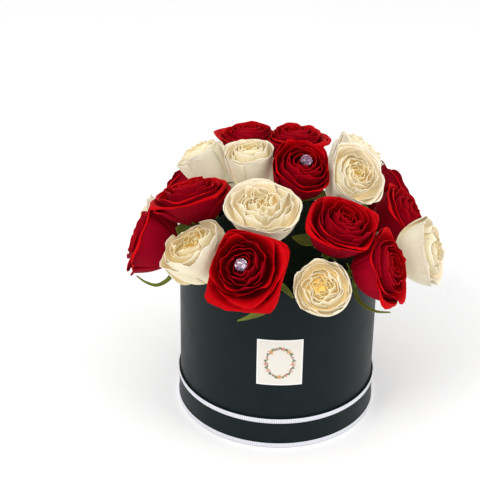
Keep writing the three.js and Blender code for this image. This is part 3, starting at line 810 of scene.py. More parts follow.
@dataclass(frozen=True)
class LabelFinish:
    """Uncoated off-white paper that carries its print as colours at its points."""

    name: str = "label_paper"
    paper: Colour = (0.70, 0.665, 0.60)
    border: Colour = (0.80, 0.80, 0.79)
    leaf: Colour = (0.10, 0.14, 0.05)
    inks: tuple[Colour, ...] = (
        (0.46, 0.07, 0.05),
        (0.52, 0.25, 0.07),
        (0.16, 0.01, 0.02),
        (0.55, 0.24, 0.20),
        (0.38, 0.10, 0.09),
    )
    dull: Colour = (0.70, 0.66, 0.58)
    grain: float = 2600.0

    def material(self) -> bpy.types.Material:
        """The print, dulled a little by the paper's grain.

        Returns:
            The material.
        """
        material, nodes, shader = new_material(self.name)
        grain, height = nodes.group(grain_group(), "Scale", self.grain)
        colour = nodes.mix(nodes.spread(grain, 0.10, 0.0), nodes.attribute("print", "Color"), self.dull)
        nodes.put(shader.inputs["Base Color"], colour)
        nodes.put(shader.inputs["Roughness"], nodes.spread(grain, 0.6, 0.75))
        nodes.put(shader.inputs["Normal"], nodes.bump(height, 0.15, 0.0001))
        return material


@dataclass(frozen=True)
class FilmFinish:
    """Thin dull green waterproof film."""

    name: str = "liner_film"
    colour: Colour = (0.07, 0.13, 0.08)
    pale: Colour = (0.16, 0.22, 0.15)
    creases: float = 70.0

    def material(self) -> bpy.types.Material:
        """Creases are broad noise in colour, roughness and height.

        Returns:
            The material.
        """
        material, nodes, shader = new_material(self.name)
        crease = nodes.noise(self.creases, 5.0, rough=0.65)
        colour = nodes.mix(nodes.ramp(crease, 0.35, 0.7), self.colour, self.pale)
        nodes.put(shader.inputs["Base Color"], colour)
        nodes.put(shader.inputs["Roughness"], nodes.spread(crease, 0.2, 0.4))
        nodes.put(shader.inputs["Normal"], nodes.bump(crease, 0.5, 0.002))
        return material


@dataclass(frozen=True)
class FoamFinish:
    """Damp green floral foam, open-pored and dark."""

    name: str = "floral_foam"
    colour: Colour = (0.006, 0.014, 0.007)
    pore: Colour = (0.001, 0.003, 0.0015)
    grain: float = 700.0
    pores: float = 900.0
    specular: float = 0.1

    def material(self) -> bpy.types.Material:
        """Pores are cells of a Voronoi texture, and the shared grain varies the roughness.

        Returns:
            The material.
        """
        material, nodes, shader = new_material(self.name)
        grain, _ = nodes.group(grain_group(), "Scale", self.grain)
        cells = nodes.add("ShaderNodeTexVoronoi")
        nodes.put(cells.inputs["Vector"], nodes.object_place())
        cells.inputs["Scale"].default_value = self.pores
        pores = nodes.ramp(cells.outputs["Distance"], 0.05, 0.5)
        nodes.put(shader.inputs["Base Color"], nodes.mix(pores, self.pore, self.colour))
        nodes.put(shader.inputs["Roughness"], nodes.spread(grain, 0.85, 0.98))
        nodes.put(shader.inputs["Normal"], nodes.bump(pores, 0.8, 0.0008))
        shader.inputs["Specular IOR Level"].default_value = self.specular
        return material


@dataclass(frozen=True)
class CrystalFinish:
    """Foil-backed glass stone on a silver pin: each facet carries a painted reflection, light or dark, as its
    tint.
    """

    name: str = "crystal"
    silver: Colour = (0.75, 0.75, 0.77)
    painted_reflections: tuple[Colour, ...] = (
        (0.66, 0.58, 0.66),
        (0.16, 0.07, 0.15),
        (0.012, 0.004, 0.010),
        (0.24, 0.05, 0.10),
        (0.05, 0.03, 0.07),
    )
    cloudy: Colour = (0.80, 0.76, 0.86)
    specular: float = 0.25

    def material(self) -> bpy.types.Material:
        """The facet's painted reflection, broken up by small inclusions.

        Returns:
            The material.
        """
        material, nodes, shader = new_material(self.name)
        cloud = nodes.ramp(nodes.noise(500.0, 2.0), 0.35, 0.7, 0.0, 0.12)
        colour = nodes.mix(cloud, nodes.attribute("facet", "Color"), self.cloudy)
        nodes.put(shader.inputs["Base Color"], colour)
        nodes.put(shader.inputs["Roughness"], nodes.ramp(cloud, 0.0, 0.35, 0.02, 0.08))
        shader.inputs["Specular IOR Level"].default_value = self.specular
        return material


@dataclass(frozen=True)
class FloorFinish:
    """Plain pale paper ground."""

    name: str = "pale_ground"
    colour: Colour = (0.90, 0.90, 0.90)
    light: Colour = (0.92, 0.92, 0.92)
    roughness: float = 0.9

    def material(self) -> bpy.types.Material:
        """Nearly even white with a trace of mottling.

        Returns:
            The material.
        """
        material, nodes, shader = new_material(self.name)
        nodes.put(shader.inputs["Base Color"], nodes.mix(nodes.noise(3.0, 2.0), self.colour, self.light))
        shader.inputs["Roughness"].default_value = self.roughness
        return material


# Box, lid, trims and label


@dataclass
class HatBox:
    """Round card box standing in its lid.

    Attributes:
        radius: Outer radius of the box.
        board: Thickness of wall, floor and panel.
        lid_board: Thickness of the lid's rim.
        clearance: Gap between box and lid.
        top: Height of the box rim above the table.
        lid_height: Height of the lid.
        rim_fillet: Rounding of a ring's rims.
        disc_fillet: Rounding of a disc's rim.
        pale_edge: Height over which the cut edge's paler colour fades out.
        rows: Rows of points up each side of a ring.
        sides: Steps round.
        finish: The covering.
    """

    radius: float = 100.0
    board: float = 2.0
    lid_board: float = 1.2
    clearance: float = 0.3
    top: float = 180.0
    lid_height: float = 35.0
    rim_fillet: float = 0.45
    disc_fillet: float = 0.4
    pale_edge: float = 0.8
    rows: int = 5
    sides: int = 240
    finish: CardFinish = field(default_factory=CardFinish)

    def ring(self, name: str, inner: float, outer: float, foot: float, top: float) -> bpy.types.Object:
        """A card ring with softly rounded rims; the edge attribute marks the rims.

        Args:
            name: Name of the piece.
            inner: Inner radius.
            outer: Outer radius.
            foot: Lowest height.
            top: Highest height.

        Returns:
            The piece.
        """
        corners = rounded([(inner, foot), (outer, foot), (outer, top), (inner, top)], self.rim_fillet)
        lower, upper = np.split(corners, 2)
        rows = np.linspace(foot, top, self.rows + 2)[1:-1]
        outside = np.stack([np.full(self.rows, outer), rows], -1)
        inside = np.stack([np.full(self.rows, inner), rows[::-1]], -1)
        points, faces = lathe(np.concatenate([lower, outside, upper, inside]), self.sides)
        near = np.minimum(points[:, 2] - foot, top - points[:, 2])
        return build_mesh(name, points, faces, {"edge": np.clip(1 - near / self.pale_edge, 0, 1)})

    def disc(self, name: str, radius: float, foot: float, top: float) -> bpy.types.Object:
        """A card disc with a rounded rim and no paler edge.

        Args:
            name: Name of the piece.
            radius: Its radius.
            foot: Lowest height.
            top: Highest height.

        Returns:
            The piece.
        """
        corners = [(0, foot), (radius, foot), (radius, top), (0, top)]
        points, faces = lathe(rounded(corners, self.disc_fillet, wraps=False), self.sides)
        return build_mesh(name, points, faces, {"edge": np.zeros(len(points))})

    def build(self) -> None:
        """Makes the wall, the floor, the lid's rim and its panel."""
        gap, board = self.clearance, self.board
        foot, lid = board + gap, self.radius + gap
        pieces = {
            "box_wall": self.ring("box_wall_card", self.radius - board, self.radius, foot, self.top),
            "box_floor": self.disc("box_floor_card", self.radius - board - gap, foot, foot + board),
            "lid_rim": self.ring("lid_rim_card", lid, lid + self.lid_board, 0.0, self.lid_height),
            "lid_panel": self.disc("lid_panel_card", self.radius, 0.0, board),
        }
        skin = self.finish.material()
        for node, piece in pieces.items():
            declare(piece, skin, node)


@dataclass
class RibbonTrim:
    """Narrow ribbed ribbon glued round the lid rim.

    Attributes:
        inner: Inner radius.
        thick: Thickness on the crest of a rib.
        width: Width of the ribbon.
        upper_foot: Height of the upper ribbon's lower edge.
        lower_foot: Height of the lower ribbon's lower edge.
        ribs: Number of ribs round.
        steps: Steps round in each rib.
        depth: Depth of the grooves.
        fillet: Rounding of the edges.
        finish: The ribbon.
    """

    inner: float = 101.8
    thick: float = 0.6
    width: float = 5.0
    upper_foot: float = 29.8
    lower_foot: float = 0.4
    ribs: int = 300
    steps: int = 4
    depth: float = 0.22
    fillet: float = 0.35
    finish: RibbonFinish = field(default_factory=RibbonFinish)

    def band(self, name: str, foot: float) -> bpy.types.Object:
        """One ribbon: its outer radius follows a cosine with one crest for each rib.

        Args:
            name: Name of the piece.
            foot: Height of its lower edge.

        Returns:
            The piece.
        """
        outer, top = self.inner + self.thick, foot + self.width
        corners = [(self.inner, foot), (outer, foot), (outer, top), (self.inner, top)]
        section = rounded(corners, self.fillet, steps=3)
        sides = self.ribs * self.steps
        wave = (np.cos(np.arange(sides)[:, None] * 2 * np.pi / self.steps) - 1) / 2
        outward = (section[None, :, 0] > self.inner + self.thick / 2).astype(float)
        points, faces = lathe(section, sides, wave * self.depth * outward)
        return build_mesh(name, points, faces, {"groove": (-wave * outward).reshape(-1)})

    def build(self) -> None:
        """Makes the upper and the lower ribbon."""
        skin = self.finish.material()
        for place, foot in (("upper", self.upper_foot), ("lower", self.lower_foot)):
            declare(self.band(f"ribbon_trim_{place}", foot), skin, f"trim_{place}")


@dataclass
class Label:
    """Paper label on the front of the wall, printed with a wreath of small blossoms.

    Attributes:
        radius: Radius of the wall that it is bent round.
        width: Width when flat.
        height: Height.
        middle: Height of its middle above the table.
        thick: Thickness.
        turn: Degrees that it is turned round the wall to the right.
        columns: Points across.
        rows: Points up.
        blossoms: Number of blossoms in the wreath.
        blossom_oval: Half width and half height of the oval that they stand on.
        blossom: Mean radius of a blossom.
        eye: Radius of its eye, as a share of the blossom's.
        leaf_oval: The oval that the leaves stand on.
        leaf_size: Half length and half width of a leaf.
        leaf_shift: Steps from a blossom to each of its two leaves.
        leaf_tilt: Radians that a leaf is turned out of the oval.
        border: Width of the plain border.
        finish: Paper and inks.
    """

    radius: float = 100.3
    width: float = 45.0
    height: float = 52.0
    middle: float = 101.0
    thick: float = 0.5
    turn: float = 0.3
    columns: int = 111
    rows: int = 129
    blossoms: int = 13
    blossom_oval: tuple[float, float] = (13.2, 16.4)
    blossom: float = 2.5
    eye: float = 0.26
    leaf_oval: tuple[float, float] = (13.6, 16.8)
    leaf_size: tuple[float, float] = (2.3, 0.85)
    leaf_shift: float = 0.42
    leaf_tilt: float = 0.7
    border: float = 1.6
    finish: LabelFinish = field(default_factory=LabelFinish)

    def in_leaf(self, across: np.ndarray, up: np.ndarray, turn: float, side: int) -> np.ndarray:
        """Which points lie in a leaf, an ellipse turned along the oval.

        Args:
            across: Millimetres to the right of the label's middle.
            up: Millimetres above it.
            turn: Angle on the oval of the blossom that it stands at.
            side: -1 for the leaf before the blossom, 1 for the one after it.

        Returns:
            True for each point in the leaf.
        """
        shift = side * self.leaf_shift
        angle = turn + shift * 2 * np.pi / self.blossoms
        x = across - self.leaf_oval[0] * math.sin(angle) * (1 + 0.1 * shift)
        y = up - self.leaf_oval[1] * math.cos(angle)
        tilt = side * self.leaf_tilt - angle
        a = x * math.cos(tilt) + y * math.sin(tilt)
        b = y * math.cos(tilt) - x * math.sin(tilt)
        return (a / self.leaf_size[0]) ** 2 + (b / self.leaf_size[1]) ** 2 < 1

    def print_colours(self, across: np.ndarray, up: np.ndarray) -> np.ndarray:
        """Colours of the print at each point.

        Blossoms stand on an oval. Blossom k covers where the distance from its middle is below
        R (0.66 + 0.34 cos(5a + k)) for the angle a round it, and its eye where it is below 0.26
        R. R varies from blossom to blossom by a sine.

        Args:
            across: Millimetres to the right of the label's middle.
            up: Millimetres above it.

        Returns:
            Colours with alpha, one for each point.
        """
        look, green = self.finish, np.array(self.finish.leaf)
        colour = np.broadcast_to(np.array(look.paper), (*across.shape, 3)).copy()
        for k in range(self.blossoms):
            turn = 2 * np.pi * (k + 0.5) / self.blossoms
            colour[self.in_leaf(across, up, turn, -1)] = green * 0.8
            colour[self.in_leaf(across, up, turn, 1)] = green * 1.2
            size = self.blossom + 0.8 * math.sin(2.4 * k)
            x = across - self.blossom_oval[0] * math.sin(turn)
            y = up - self.blossom_oval[1] * math.cos(turn)
            away, angle = np.hypot(x, y), np.arctan2(y, x)
            colour[away < size * (0.66 + 0.34 * np.cos(5 * angle + k))] = look.inks[k % len(look.inks)]
            colour[away < size * self.eye] = look.inks[1]
        edge = np.minimum(self.width / 2 - np.abs(across), self.height / 2 - np.abs(up))
        colour[edge < self.border] = look.border
        return np.concatenate([colour, np.ones((*across.shape, 1))], -1)

    def build(self) -> None:
        """A sheet bent round the wall: a point a to the right turns by a divided by the radius."""
        across = np.linspace(-self.width / 2, self.width / 2, self.columns)[:, None]
        up = np.linspace(-self.height / 2, self.height / 2, self.rows)[None, :]
        across, up = np.broadcast_arrays(across, up)
        radius = self.radius + self.thick / 2
        turn = math.radians(self.turn) + across / radius
        grid = np.stack([radius * np.sin(turn), -radius * np.cos(turn), self.middle + up], -1)
        points, faces = thick_sheets(grid[None], self.thick)
        colours = self.print_colours(across, up).reshape(-1, 4)
        piece = build_mesh("label_sheet", points, faces, {"print": np.concatenate([colours, colours])})
        declare(piece, self.finish.material(), "label")


@dataclass
class Filling:
    """Waterproof film and the foam that holds the stems.

    Attributes:
        radius: Outer radius of the film.
        film: Its thickness.
        foot: Height of its lower face.
        top: Height of its rim before it sinks.
        wavy: Height below the rim over which the waves fade out.
        fillet: Rounding of its edges.
        sides: Steps round.
        film_finish: The film.
        foam_finish: The foam.
    """

    radius: float = 96.5
    film: float = 1.0
    foot: float = 4.6
    top: float = 164.0
    wavy: float = 12.0
    fillet: float = 0.4
    sides: int = 180
    film_finish: FilmFinish = field(default_factory=FilmFinish)
    foam_finish: FoamFinish = field(default_factory=FoamFinish)

    def build(self) -> None:
        """Makes the film with a wavy rim and gives the foam its surface.

        The rim sinks by 0.8 + 0.5 sin 9t + 0.3 sin(23t + 1) millimetres for each turn t.
        """
        outer, inner, floor = self.radius, self.radius - self.film, self.foot + self.film
        corners = [(0, self.foot), (outer, self.foot), (outer, self.top)]
        corners += [(inner, self.top), (inner, floor), (0, floor)]
        points, faces = lathe(rounded(corners, self.fillet, wraps=False), self.sides)
        turn = np.arctan2(points[:, 0], points[:, 1])
        high = np.clip((points[:, 2] - self.top + self.wavy) / self.wavy, 0, 1)
        points[:, 2] -= high * (0.8 + 0.5 * np.sin(9 * turn) + 0.3 * np.sin(23 * turn + 1))
        piece = build_mesh("liner_sheet", points, faces)
        declare(piece, self.film_finish.material(), "liner")
        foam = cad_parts["foam"]
        foam.data.materials.clear()
        foam.data.materials.append(self.foam_finish.material())
        LOG.info("foam: finished")


# Roses


@dataclass(frozen=True)
class RoseForm:
    """What the roses of one variety share.

    Attributes:
        petals: Number of petals.
        reflex: How far the outer petals of an open rose flare and roll over.
        point: Length of the point at a tip, as a share of the head's radius.
        span_in: Degrees from the middle of the innermost petal to its edge.
        span_out: The same for the outermost petal.
        crown: How far the sides of a petal are cut back.
        corner: How far its corners draw in and sink.
        ruffle: Height of the waves in the outermost lips, in millimetres.
        ruffle_in: What is added to it halfway to the heart.
        gather: How closely the outer petals stand together.
        core: How wide the petals inside them stand in an open rose.
        drop: How far the outer lips of an open rose sink, as a share of its height.
        blush: Power by which the heart's colour fades outwards.
    """

    petals: int
    reflex: float
    point: float
    span_in: float
    span_out: float
    crown: float
    corner: float
    ruffle: float
    ruffle_in: float
    gather: float
    core: float
    drop: float
    blush: float


FORMS = {
    Variety.RED: RoseForm(
        petals=26,
        reflex=1.0,
        point=0.12,
        span_in=105,
        span_out=64,
        crown=0.12,
        corner=0.12,
        ruffle=2.0,
        ruffle_in=0.4,
        gather=0.3,
        core=1.07,
        drop=0.1,
        blush=1.6,
    ),
    Variety.CREAM: RoseForm(
        petals=30,
        reflex=0.3,
        point=0.05,
        span_in=62,
        span_out=72,
        crown=0.10,
        corner=0.06,
        ruffle=2.2,
        ruffle_in=1.3,
        gather=0.8,
        core=0.97,
        drop=0.04,
        blush=1.2,
    ),
}


@dataclass(frozen=True)
class RoseSite:
    """Where one rose stands, and its build.

    Attributes:
        name: Name of the rose.
        variety: Its kind.
        middle: Middle of the head.
        bearing: Degrees that its face is turned from the front towards the right.
        tilt: Degrees that its face is tilted from straight up.
        radius: Radius of the head.
        height: Height of the head from base to tips.
        openness: 0 for a bud and 1 for a full bloom.
        spin: Degrees that the petals are turned round the head.
        seed: Number that varies its petals.
        ruffle: Share of its variety's ruffles.
        lean: How much higher the petals at the front stand, as a share of its height.
    """

    name: str
    variety: Variety
    middle: Point
    bearing: float
    tilt: float
    radius: float
    height: float
    openness: float
    spin: float
    seed: int
    ruffle: float = 1.0
    lean: float = 0.0


RED, CREAM = Variety.RED, Variety.CREAM
SITES = [
    RoseSite("red_rose_1", RED, (-35.5, -118, 218), -14, 54, 50, 50, 1.0, 40, 1),
    RoseSite("cream_rose_1", CREAM, (38, -124, 198), -14, 47, 38, 46, 0.35, 10, 31, 0.6),
    RoseSite("red_rose_2", RED, (95.5, -89, 203), 68, 66, 47, 50, 0.65, 80, 3),
    RoseSite("cream_rose_2", CREAM, (140, -40, 192), 74, 72, 43, 46, 0.7, 20, 4),
    RoseSite("cream_rose_3", CREAM, (-80, -84, 213), -45, 34, 48, 54, 0.25, 60, 5, lean=0.32),
    RoseSite("red_rose_3", RED, (-129, -30, 198), -100, 74, 50, 52, 0.7, 0, 37),
    RoseSite("cream_rose_4", CREAM, (-19, -72, 251), -6, 18, 46, 50, 1.0, 0, 7, 1.2),
    RoseSite("red_rose_4", RED, (56, -82, 241), 50, 24, 47, 56, 0.9, 150, 32),
    RoseSite("red_rose_5", RED, (-88, -38, 247), -112, 15, 47, 52, 1.0, 24, 33, lean=0.12),
    RoseSite("red_rose_6", RED, (123, 14, 204), 80, 55, 42, 50, 0.7, 0, 10),
    RoseSite("cream_rose_5", CREAM, (-128, 9, 190), -95, 78, 37, 45, 0.65, 0, 38),
    RoseSite("red_rose_7", RED, (19, -20, 270), 25, 32, 44, 56, 0.55, 0, 12, lean=0.08),
    RoseSite("cream_rose_6", CREAM, (-31, -6, 273), -20, 8, 34, 50, 0.5, 0, 13, 0.5, 0.06),
    RoseSite("cream_rose_7", CREAM, (-78, 31, 254), -110, 35, 33, 50, 0.35, 0, 14, 0.6),
    RoseSite("cream_rose_8", CREAM, (67, -14, 259), 40, 46, 41, 52, 0.65, 0, 34, 0.5),
    RoseSite("cream_rose_9", CREAM, (78, 46, 255), 115, 40, 34, 48, 0.7, 0, 16),
    RoseSite("red_rose_8", RED, (-32, 53, 269), -165, 8, 40, 42, 1.0, 0, 17),
    RoseSite("red_rose_9", RED, (13, 43, 272), 170, 8, 42, 42, 1.0, 0, 34),
    RoseSite("red_rose_10", RED, (-96, 86, 190), -128, 76, 42, 50, 0.8, 0, 19),
    RoseSite("cream_rose_10", CREAM, (-52, 118, 204), -156, 66, 47, 50, 0.8, 0, 20),
    RoseSite("red_rose_11", RED, (14, 130, 202), 173, 68, 47, 50, 0.85, 0, 31),
    RoseSite("cream_rose_11", CREAM, (80, 110, 203), 144, 66, 46, 50, 0.75, 0, 22),
    RoseSite("red_rose_12", RED, (118, 62, 202), 114, 68, 45, 48, 0.75, 0, 23),
    RoseSite("cream_rose_12", CREAM, (-6, 94, 224), 175, 38, 45, 50, 0.8, 0, 31),
]
GEM_ROSES = ("red_rose_1", "red_rose_7")


@dataclass(frozen=True)
class Leaf:
    """A leaf or long sepal of one rose.

    Attributes:
        rose: Name of the rose that it grows from.
        facing: Direction that it faces.
        stations: Points along its middle line, each as x, y, z and the width there.
        fold: How far its middle sinks, as a share of the width.
        teeth: Depth of the teeth, as a share of the width.
        tooth_rate: Twice the number of teeth between two stations.
        least_width: Width that it keeps at its tip.
        span_steps: Steps between two stations.
        across_steps: Points across.
    """

    rose: str
    facing: Point
    stations: list[tuple[float, float, float, float]]
    fold: float = 0.18
    teeth: float = 0.07
    tooth_rate: float = 3.2
    least_width: float = 0.8
    span_steps: int = 12
    across_steps: int = 9

    def grid(self) -> np.ndarray:
        """Middle surface of the leaf, folded a little along its middle and toothed at the edge.

        The middle line and the width are smooth curves through the stations (each span is a
        cubic with the slopes of its neighbours). A point p across lies p half-widths to the
        side and sinks by the fold times 1 - p^2 of the width.

        Returns:
            A grid of shape (1, across, along, 3).
        """
        data = np.array(self.stations, float)
        slope = np.gradient(data, axis=0)
        spans = len(data) - 1
        place = np.linspace(0, spans, self.span_steps * spans + 1)
        k = np.minimum(place.astype(int), spans - 1)
        t = (place - k)[:, None]
        line = (2 * t**3 - 3 * t**2 + 1) * data[k] + (t**3 - 2 * t**2 + t) * slope[k]
        line += (3 * t**2 - 2 * t**3) * data[k + 1] + (t**3 - t**2) * slope[k + 1]
        along = unit(np.gradient(line[:, :3], axis=0))
        side = unit(np.cross(along, np.array(self.facing)))
        normal = np.cross(side, along)
        toothed = 1 + self.teeth * np.abs((place * self.tooth_rate) % 2 - 1)
        width = (np.maximum(line[:, 3], self.least_width) * toothed)[None, :, None]
        p = np.linspace(-1, 1, self.across_steps)[:, None, None]
        grid = line[None, :, :3] + p * side[None] * width / 2
        return (grid - (1 - p**2) * normal[None] * self.fold * width)[None]


# The leaves and long sepals that show, and those that close a gap under the heads
LEAVES = [
    Leaf(
        "cream_rose_2",
        (0.1, -0.9, 0.4),
        [(93, -26.5, 185, 3), (94, -30, 193, 9), (93.5, -35, 202, 12), (92.3, -40, 212, 1)],
    ),
    Leaf(
        "cream_rose_6",
        (0.0, -0.7, 0.7),
        [(-29.8, -3, 227, 3), (-42, -9, 233, 9), (-54, -14, 236, 11), (-62, -17, 236, 1)],
    ),
    Leaf(
        "red_rose_1",
        (0.3, -0.9, 0.4),
        [
            (-33, -93, 197.5, 3.5),
            (-18, -103, 185, 8),
            (-11, -108.5, 175, 11),
            (-18, -110, 166, 9),
            (-30, -107.5, 157, 4.5),
            (-41, -104, 150.5, 1),
        ],
    ),
    Leaf(
        "red_rose_1",
        (0.0, -0.8, 0.6),
        [(-32, -93, 198.5, 3.5), (-12, -101, 195, 6), (2, -108, 190, 6), (11, -114, 183, 1)],
    ),
    Leaf(
        "red_rose_2",
        (0.3, -0.6, 0.7),
        [
            (72, -68, 188.5, 3),
            (71, -76, 174, 4.5),
            (76, -86, 163, 4),
            (90, -93, 157, 2.5),
            (105, -93, 155.5, 1),
        ],
    ),
    Leaf(
        "red_rose_3",
        (0.0, -0.7, 0.7),
        [
            (-96, -33, 184.5, 3),
            (-103, -40, 172, 4),
            (-109, -46, 162, 4),
            (-120, -50, 157, 3),
            (-131, -50, 160, 2),
            (-140, -50, 167, 1),
        ],
    ),
    Leaf(
        "red_rose_4",
        (0.0, -0.5, 0.8),
        [(43.5, -64, 211.5, 3), (32, -62, 215, 10), (21, -60, 215.5, 12), (10, -58, 217, 1.5)],
    ),
    Leaf(
        "red_rose_5",
        (0.0, -0.6, 0.8),
        [(-76, -40, 203, 3), (-86, -40.5, 209.5, 11), (-96, -39.5, 213.5, 15), (-102, -38.5, 214.5, 1)],
    ),
    Leaf(
        "red_rose_7",
        (0.0, -0.7, 0.7),
        [(9, 0, 222, 3), (22, 2, 229, 9), (36, 8, 231, 13), (48, 15, 227, 1)],
    ),
    Leaf(
        "cream_rose_8",
        (0.0, -0.7, 0.7),
        [(51, 7, 226, 3), (64, 1, 225, 10), (77, -4, 222, 13), (90, -9, 218, 1)],
    ),
]


@dataclass
class Rose:
    """One rose with its own axes and the planes that part it from its neighbours.

    Attributes:
        site: Where it stands, and its build.
        planes: Unit normal and distance of each plane, seen from the middle of the head.
        base_depth: Depth of the base below the middle, as a share of the height.
        rim_place: Shares of height and radius at which the rim stands out.
        top_place: The same for the top.
        base_radius: How far the base reaches sideways.
        least_reach: Reach that no direction falls below.
        cell_power: How sharply the planes meet.
        cell_start: Share of the way to the planes from which points are drawn in.
        cell_gap: Distance that is kept from each plane.
        open_side: What stands for the planes where there is none.
        across_steps: Points from edge to edge of a petal.
        along_steps: Points from its base to its tip.
        outer_petals: Number of petals that count as outer ones.
        petal_wall: Thickness of a petal at its base.
        lip_wall: Thickness at its lip.
        wobble_factors: Factors of seed, petal, channel and sine in the fixed values.
        hip_heights: Heights of the hip's sections.
        hip_radii: Their radii, and the radius where the stem starts.
        stem_start: Height at which the stem starts.
        stem_foot: Height of its foot above the table.
        stem_radius: Its radius.
        stem_sides: Points round it.
        bend_cut: Length over which its bend is eased on each side.
        gate_radius: Farthest place inside the rim where it passes over.
        gate_height: Least height there.
        sepal_count: Number of sepals.
        leaf_wall: Thickness of sepals and leaves.
    """

    site: RoseSite
    planes: list[tuple[np.ndarray, float]] = field(default_factory=list)
    base_depth: float = 0.6
    rim_place: tuple[float, float] = (0.22, 0.95)
    top_place: tuple[float, float] = (0.42, 0.45)
    base_radius: float = 10.0
    least_reach: float = 4.0
    cell_power: float = 8.0
    cell_start: float = 0.74
    cell_gap: float = 0.65
    open_side: float = 1e-30
    across_steps: int = 17
    along_steps: int = 17
    outer_petals: int = 8
    petal_wall: float = 0.55
    lip_wall: float = 0.3
    wobble_factors: tuple[float, ...] = (78.233, 12.9898, 37.719, 43758.5453)
    hip_heights: tuple[float, ...] = (0.3, -1.2, -2.4, -4.0, -5.4)
    hip_radii: tuple[float, ...] = (3.6, 4.5, 4.6, 4.2, 3.4, 2.6)
    stem_start: float = -8.0
    stem_foot: float = 142.0
    stem_radius: float = 2.5
    stem_sides: int = 14
    bend_cut: float = 5.0
    gate_radius: float = 95.0
    gate_height: float = 185.0
    sepal_count: int = 5
    leaf_wall: float = 0.7

    def __post_init__(self) -> None:
        """Works out the axes from bearing and tilt."""
        site = self.site
        self.form = FORMS[site.variety]
        self.middle = np.array(site.middle, float)
        b, t = math.radians(site.bearing), math.radians(site.tilt)
        self.axis = np.array([math.sin(b) * math.sin(t), -math.cos(b) * math.sin(t), math.cos(t)])
        upright = abs(self.axis[2]) >= 0.95
        reference = np.array([0.0, 1.0, 0.0]) if upright else np.array([0.0, 0.0, 1.0])
        self.across = unit(np.cross(reference, self.axis))
        self.up = np.cross(self.axis, self.across)

    def reach(self, direction: np.ndarray) -> float:
        """How far the head reaches from its middle along a direction.

        It is the farthest of rim, top and base, each a share of the height times the cosine of
        the angle to the axis plus a share of the radius times its sine.

        Args:
            direction: The direction, of length one.

        Returns:
            The reach in millimetres.
        """
        height, radius = self.site.height, self.site.radius
        c = float(self.axis @ direction)
        s = math.sqrt(max(0.0, 1 - c * c))
        rim, top = (up * height * c + out * radius * s for up, out in (self.rim_place, self.top_place))
        base = self.base_radius * s - self.base_depth * height * c
        return max(rim, top, base, self.least_reach)

    def keep_in_cell(self, points: np.ndarray) -> np.ndarray:
        """Draws points in towards the middle so that they stay on this side of each plane.

        The limit along a direction is the smooth least distance to the planes, and a share of
        it above cell_start is eased so that it never reaches one.

        Args:
            points: Points in millimetres, the last axis being x, y, z.

        Returns:
            The drawn-in points.
        """
        away = points - self.middle
        far = np.linalg.norm(away, axis=-1)
        direction = unit(away)
        total = np.zeros(far.shape)
        for normal, gap in self.planes:
            total += np.maximum(0, direction @ normal / gap) ** self.cell_power
        limit = np.maximum(total, self.open_side) ** (-1 / self.cell_power)
        x = far / limit
        room = 1 - self.cell_start
        eased = self.cell_start + room * (1 - np.exp(-np.maximum(x - self.cell_start, 0) / room))
        held = np.where(x < self.cell_start, x, eased)
        return self.middle + direction * (held * limit)[..., None]

    def place(self, own: np.ndarray) -> np.ndarray:
        """From the rose's own axes, base at the origin and face along +z, to the box."""
        lifted = own[..., 2:3] - self.base_depth * self.site.height
        return self.middle + (own[..., 0:1] * self.across + own[..., 1:2] * self.up + lifted * self.axis)

    def to_box(self, own: np.ndarray) -> np.ndarray:
        """Places points and draws them into the rose's cell."""
        return self.keep_in_cell(self.place(np.asarray(own, float)))

    def wobble(self, petal: np.ndarray, channel: int) -> np.ndarray:
        """A fixed value between -1 and 1 for each petal and use.

        It is twice the fraction of a large sine less one, where the sine is taken of the sum of
        seed, petal and channel, each times its own factor.

        Args:
            petal: Numbers of the petals.
            channel: Number of the use.

        Returns:
            The values.
        """
        by_seed, by_petal, by_channel, large = self.wobble_factors
        s = np.sin(self.site.seed * by_seed + petal * by_petal + channel * by_channel) * large
        return 2 * (s - np.floor(s)) - 1

    def petal_grids(self) -> tuple[np.ndarray, dict[str, np.ndarray]]:
        """Middle surface of every petal.

        With u from edge to edge and v from base to tip, s is v cut back towards the sides for
        a round crown, with small nicks in the lip. Radius and height are cubic curves in s from
        the base over the belly and the lip to the tip; petal k starts k golden turns round.
        The layer is 1 for the outermost petal and 0 for the innermost. The whorl is the layer
        once the outer petals are gathered and the inner ones are drawn in or out by the core,
        and it sets rim, height and flare with the openness. A rose that leans has its front
        petals higher. Powers of s roll the lip over and form the point, and three sine waves
        along the edge ruffle it. Rim, belly, height, flare and waves vary from petal to petal.

        Returns:
            Points, shape (petals, across, along, 3), and values at the same grid points.
        """
        site, form = self.site, self.form
        radius, height, openness = site.radius, site.height, site.openness
        k = np.arange(form.petals)[:, None, None]
        u = np.linspace(-1, 1, self.across_steps)[None, :, None]
        v = (1 - (1 - np.linspace(0, 1, self.along_steps)) ** 1.25)[None, None, :]
        layer = 1 - k / (form.petals - 1)
        gathered = layer + form.gather * (0.92 - layer)
        core = form.core - 0.17 * (1 - openness)
        whorl = np.where(k < self.outer_petals, gathered, core * layer)

        closed = 0.07 + 0.5 * whorl**0.9
        opened = 0.07 + 0.93 * whorl**1.5
        rim = radius * (closed + (opened - closed) * openness) * (1 + 0.03 * self.wobble(k, 1))
        belly = radius * (0.1 + 0.62 * layer**0.8) * (1 + 0.01 * self.wobble(k, 2))
        start = np.radians(site.spin + GOLDEN_TURN * k + 9 * self.wobble(k, 0))
        front = math.atan2(-self.up[1], -self.across[1])
        lean = site.lean * np.cos(start - front) * whorl
        swell = 0.06 * np.sin(np.pi * np.minimum(1.15 * whorl, 1))
        sink = form.drop * openness * whorl**3
        top = height * (0.85 + swell - sink + lean) * (1 + 0.03 * self.wobble(k, 3))
        flare = form.reflex * (0.3 + 0.7 * openness) * whorl**2.2 * (1 + 0.3 * self.wobble(k, 10))

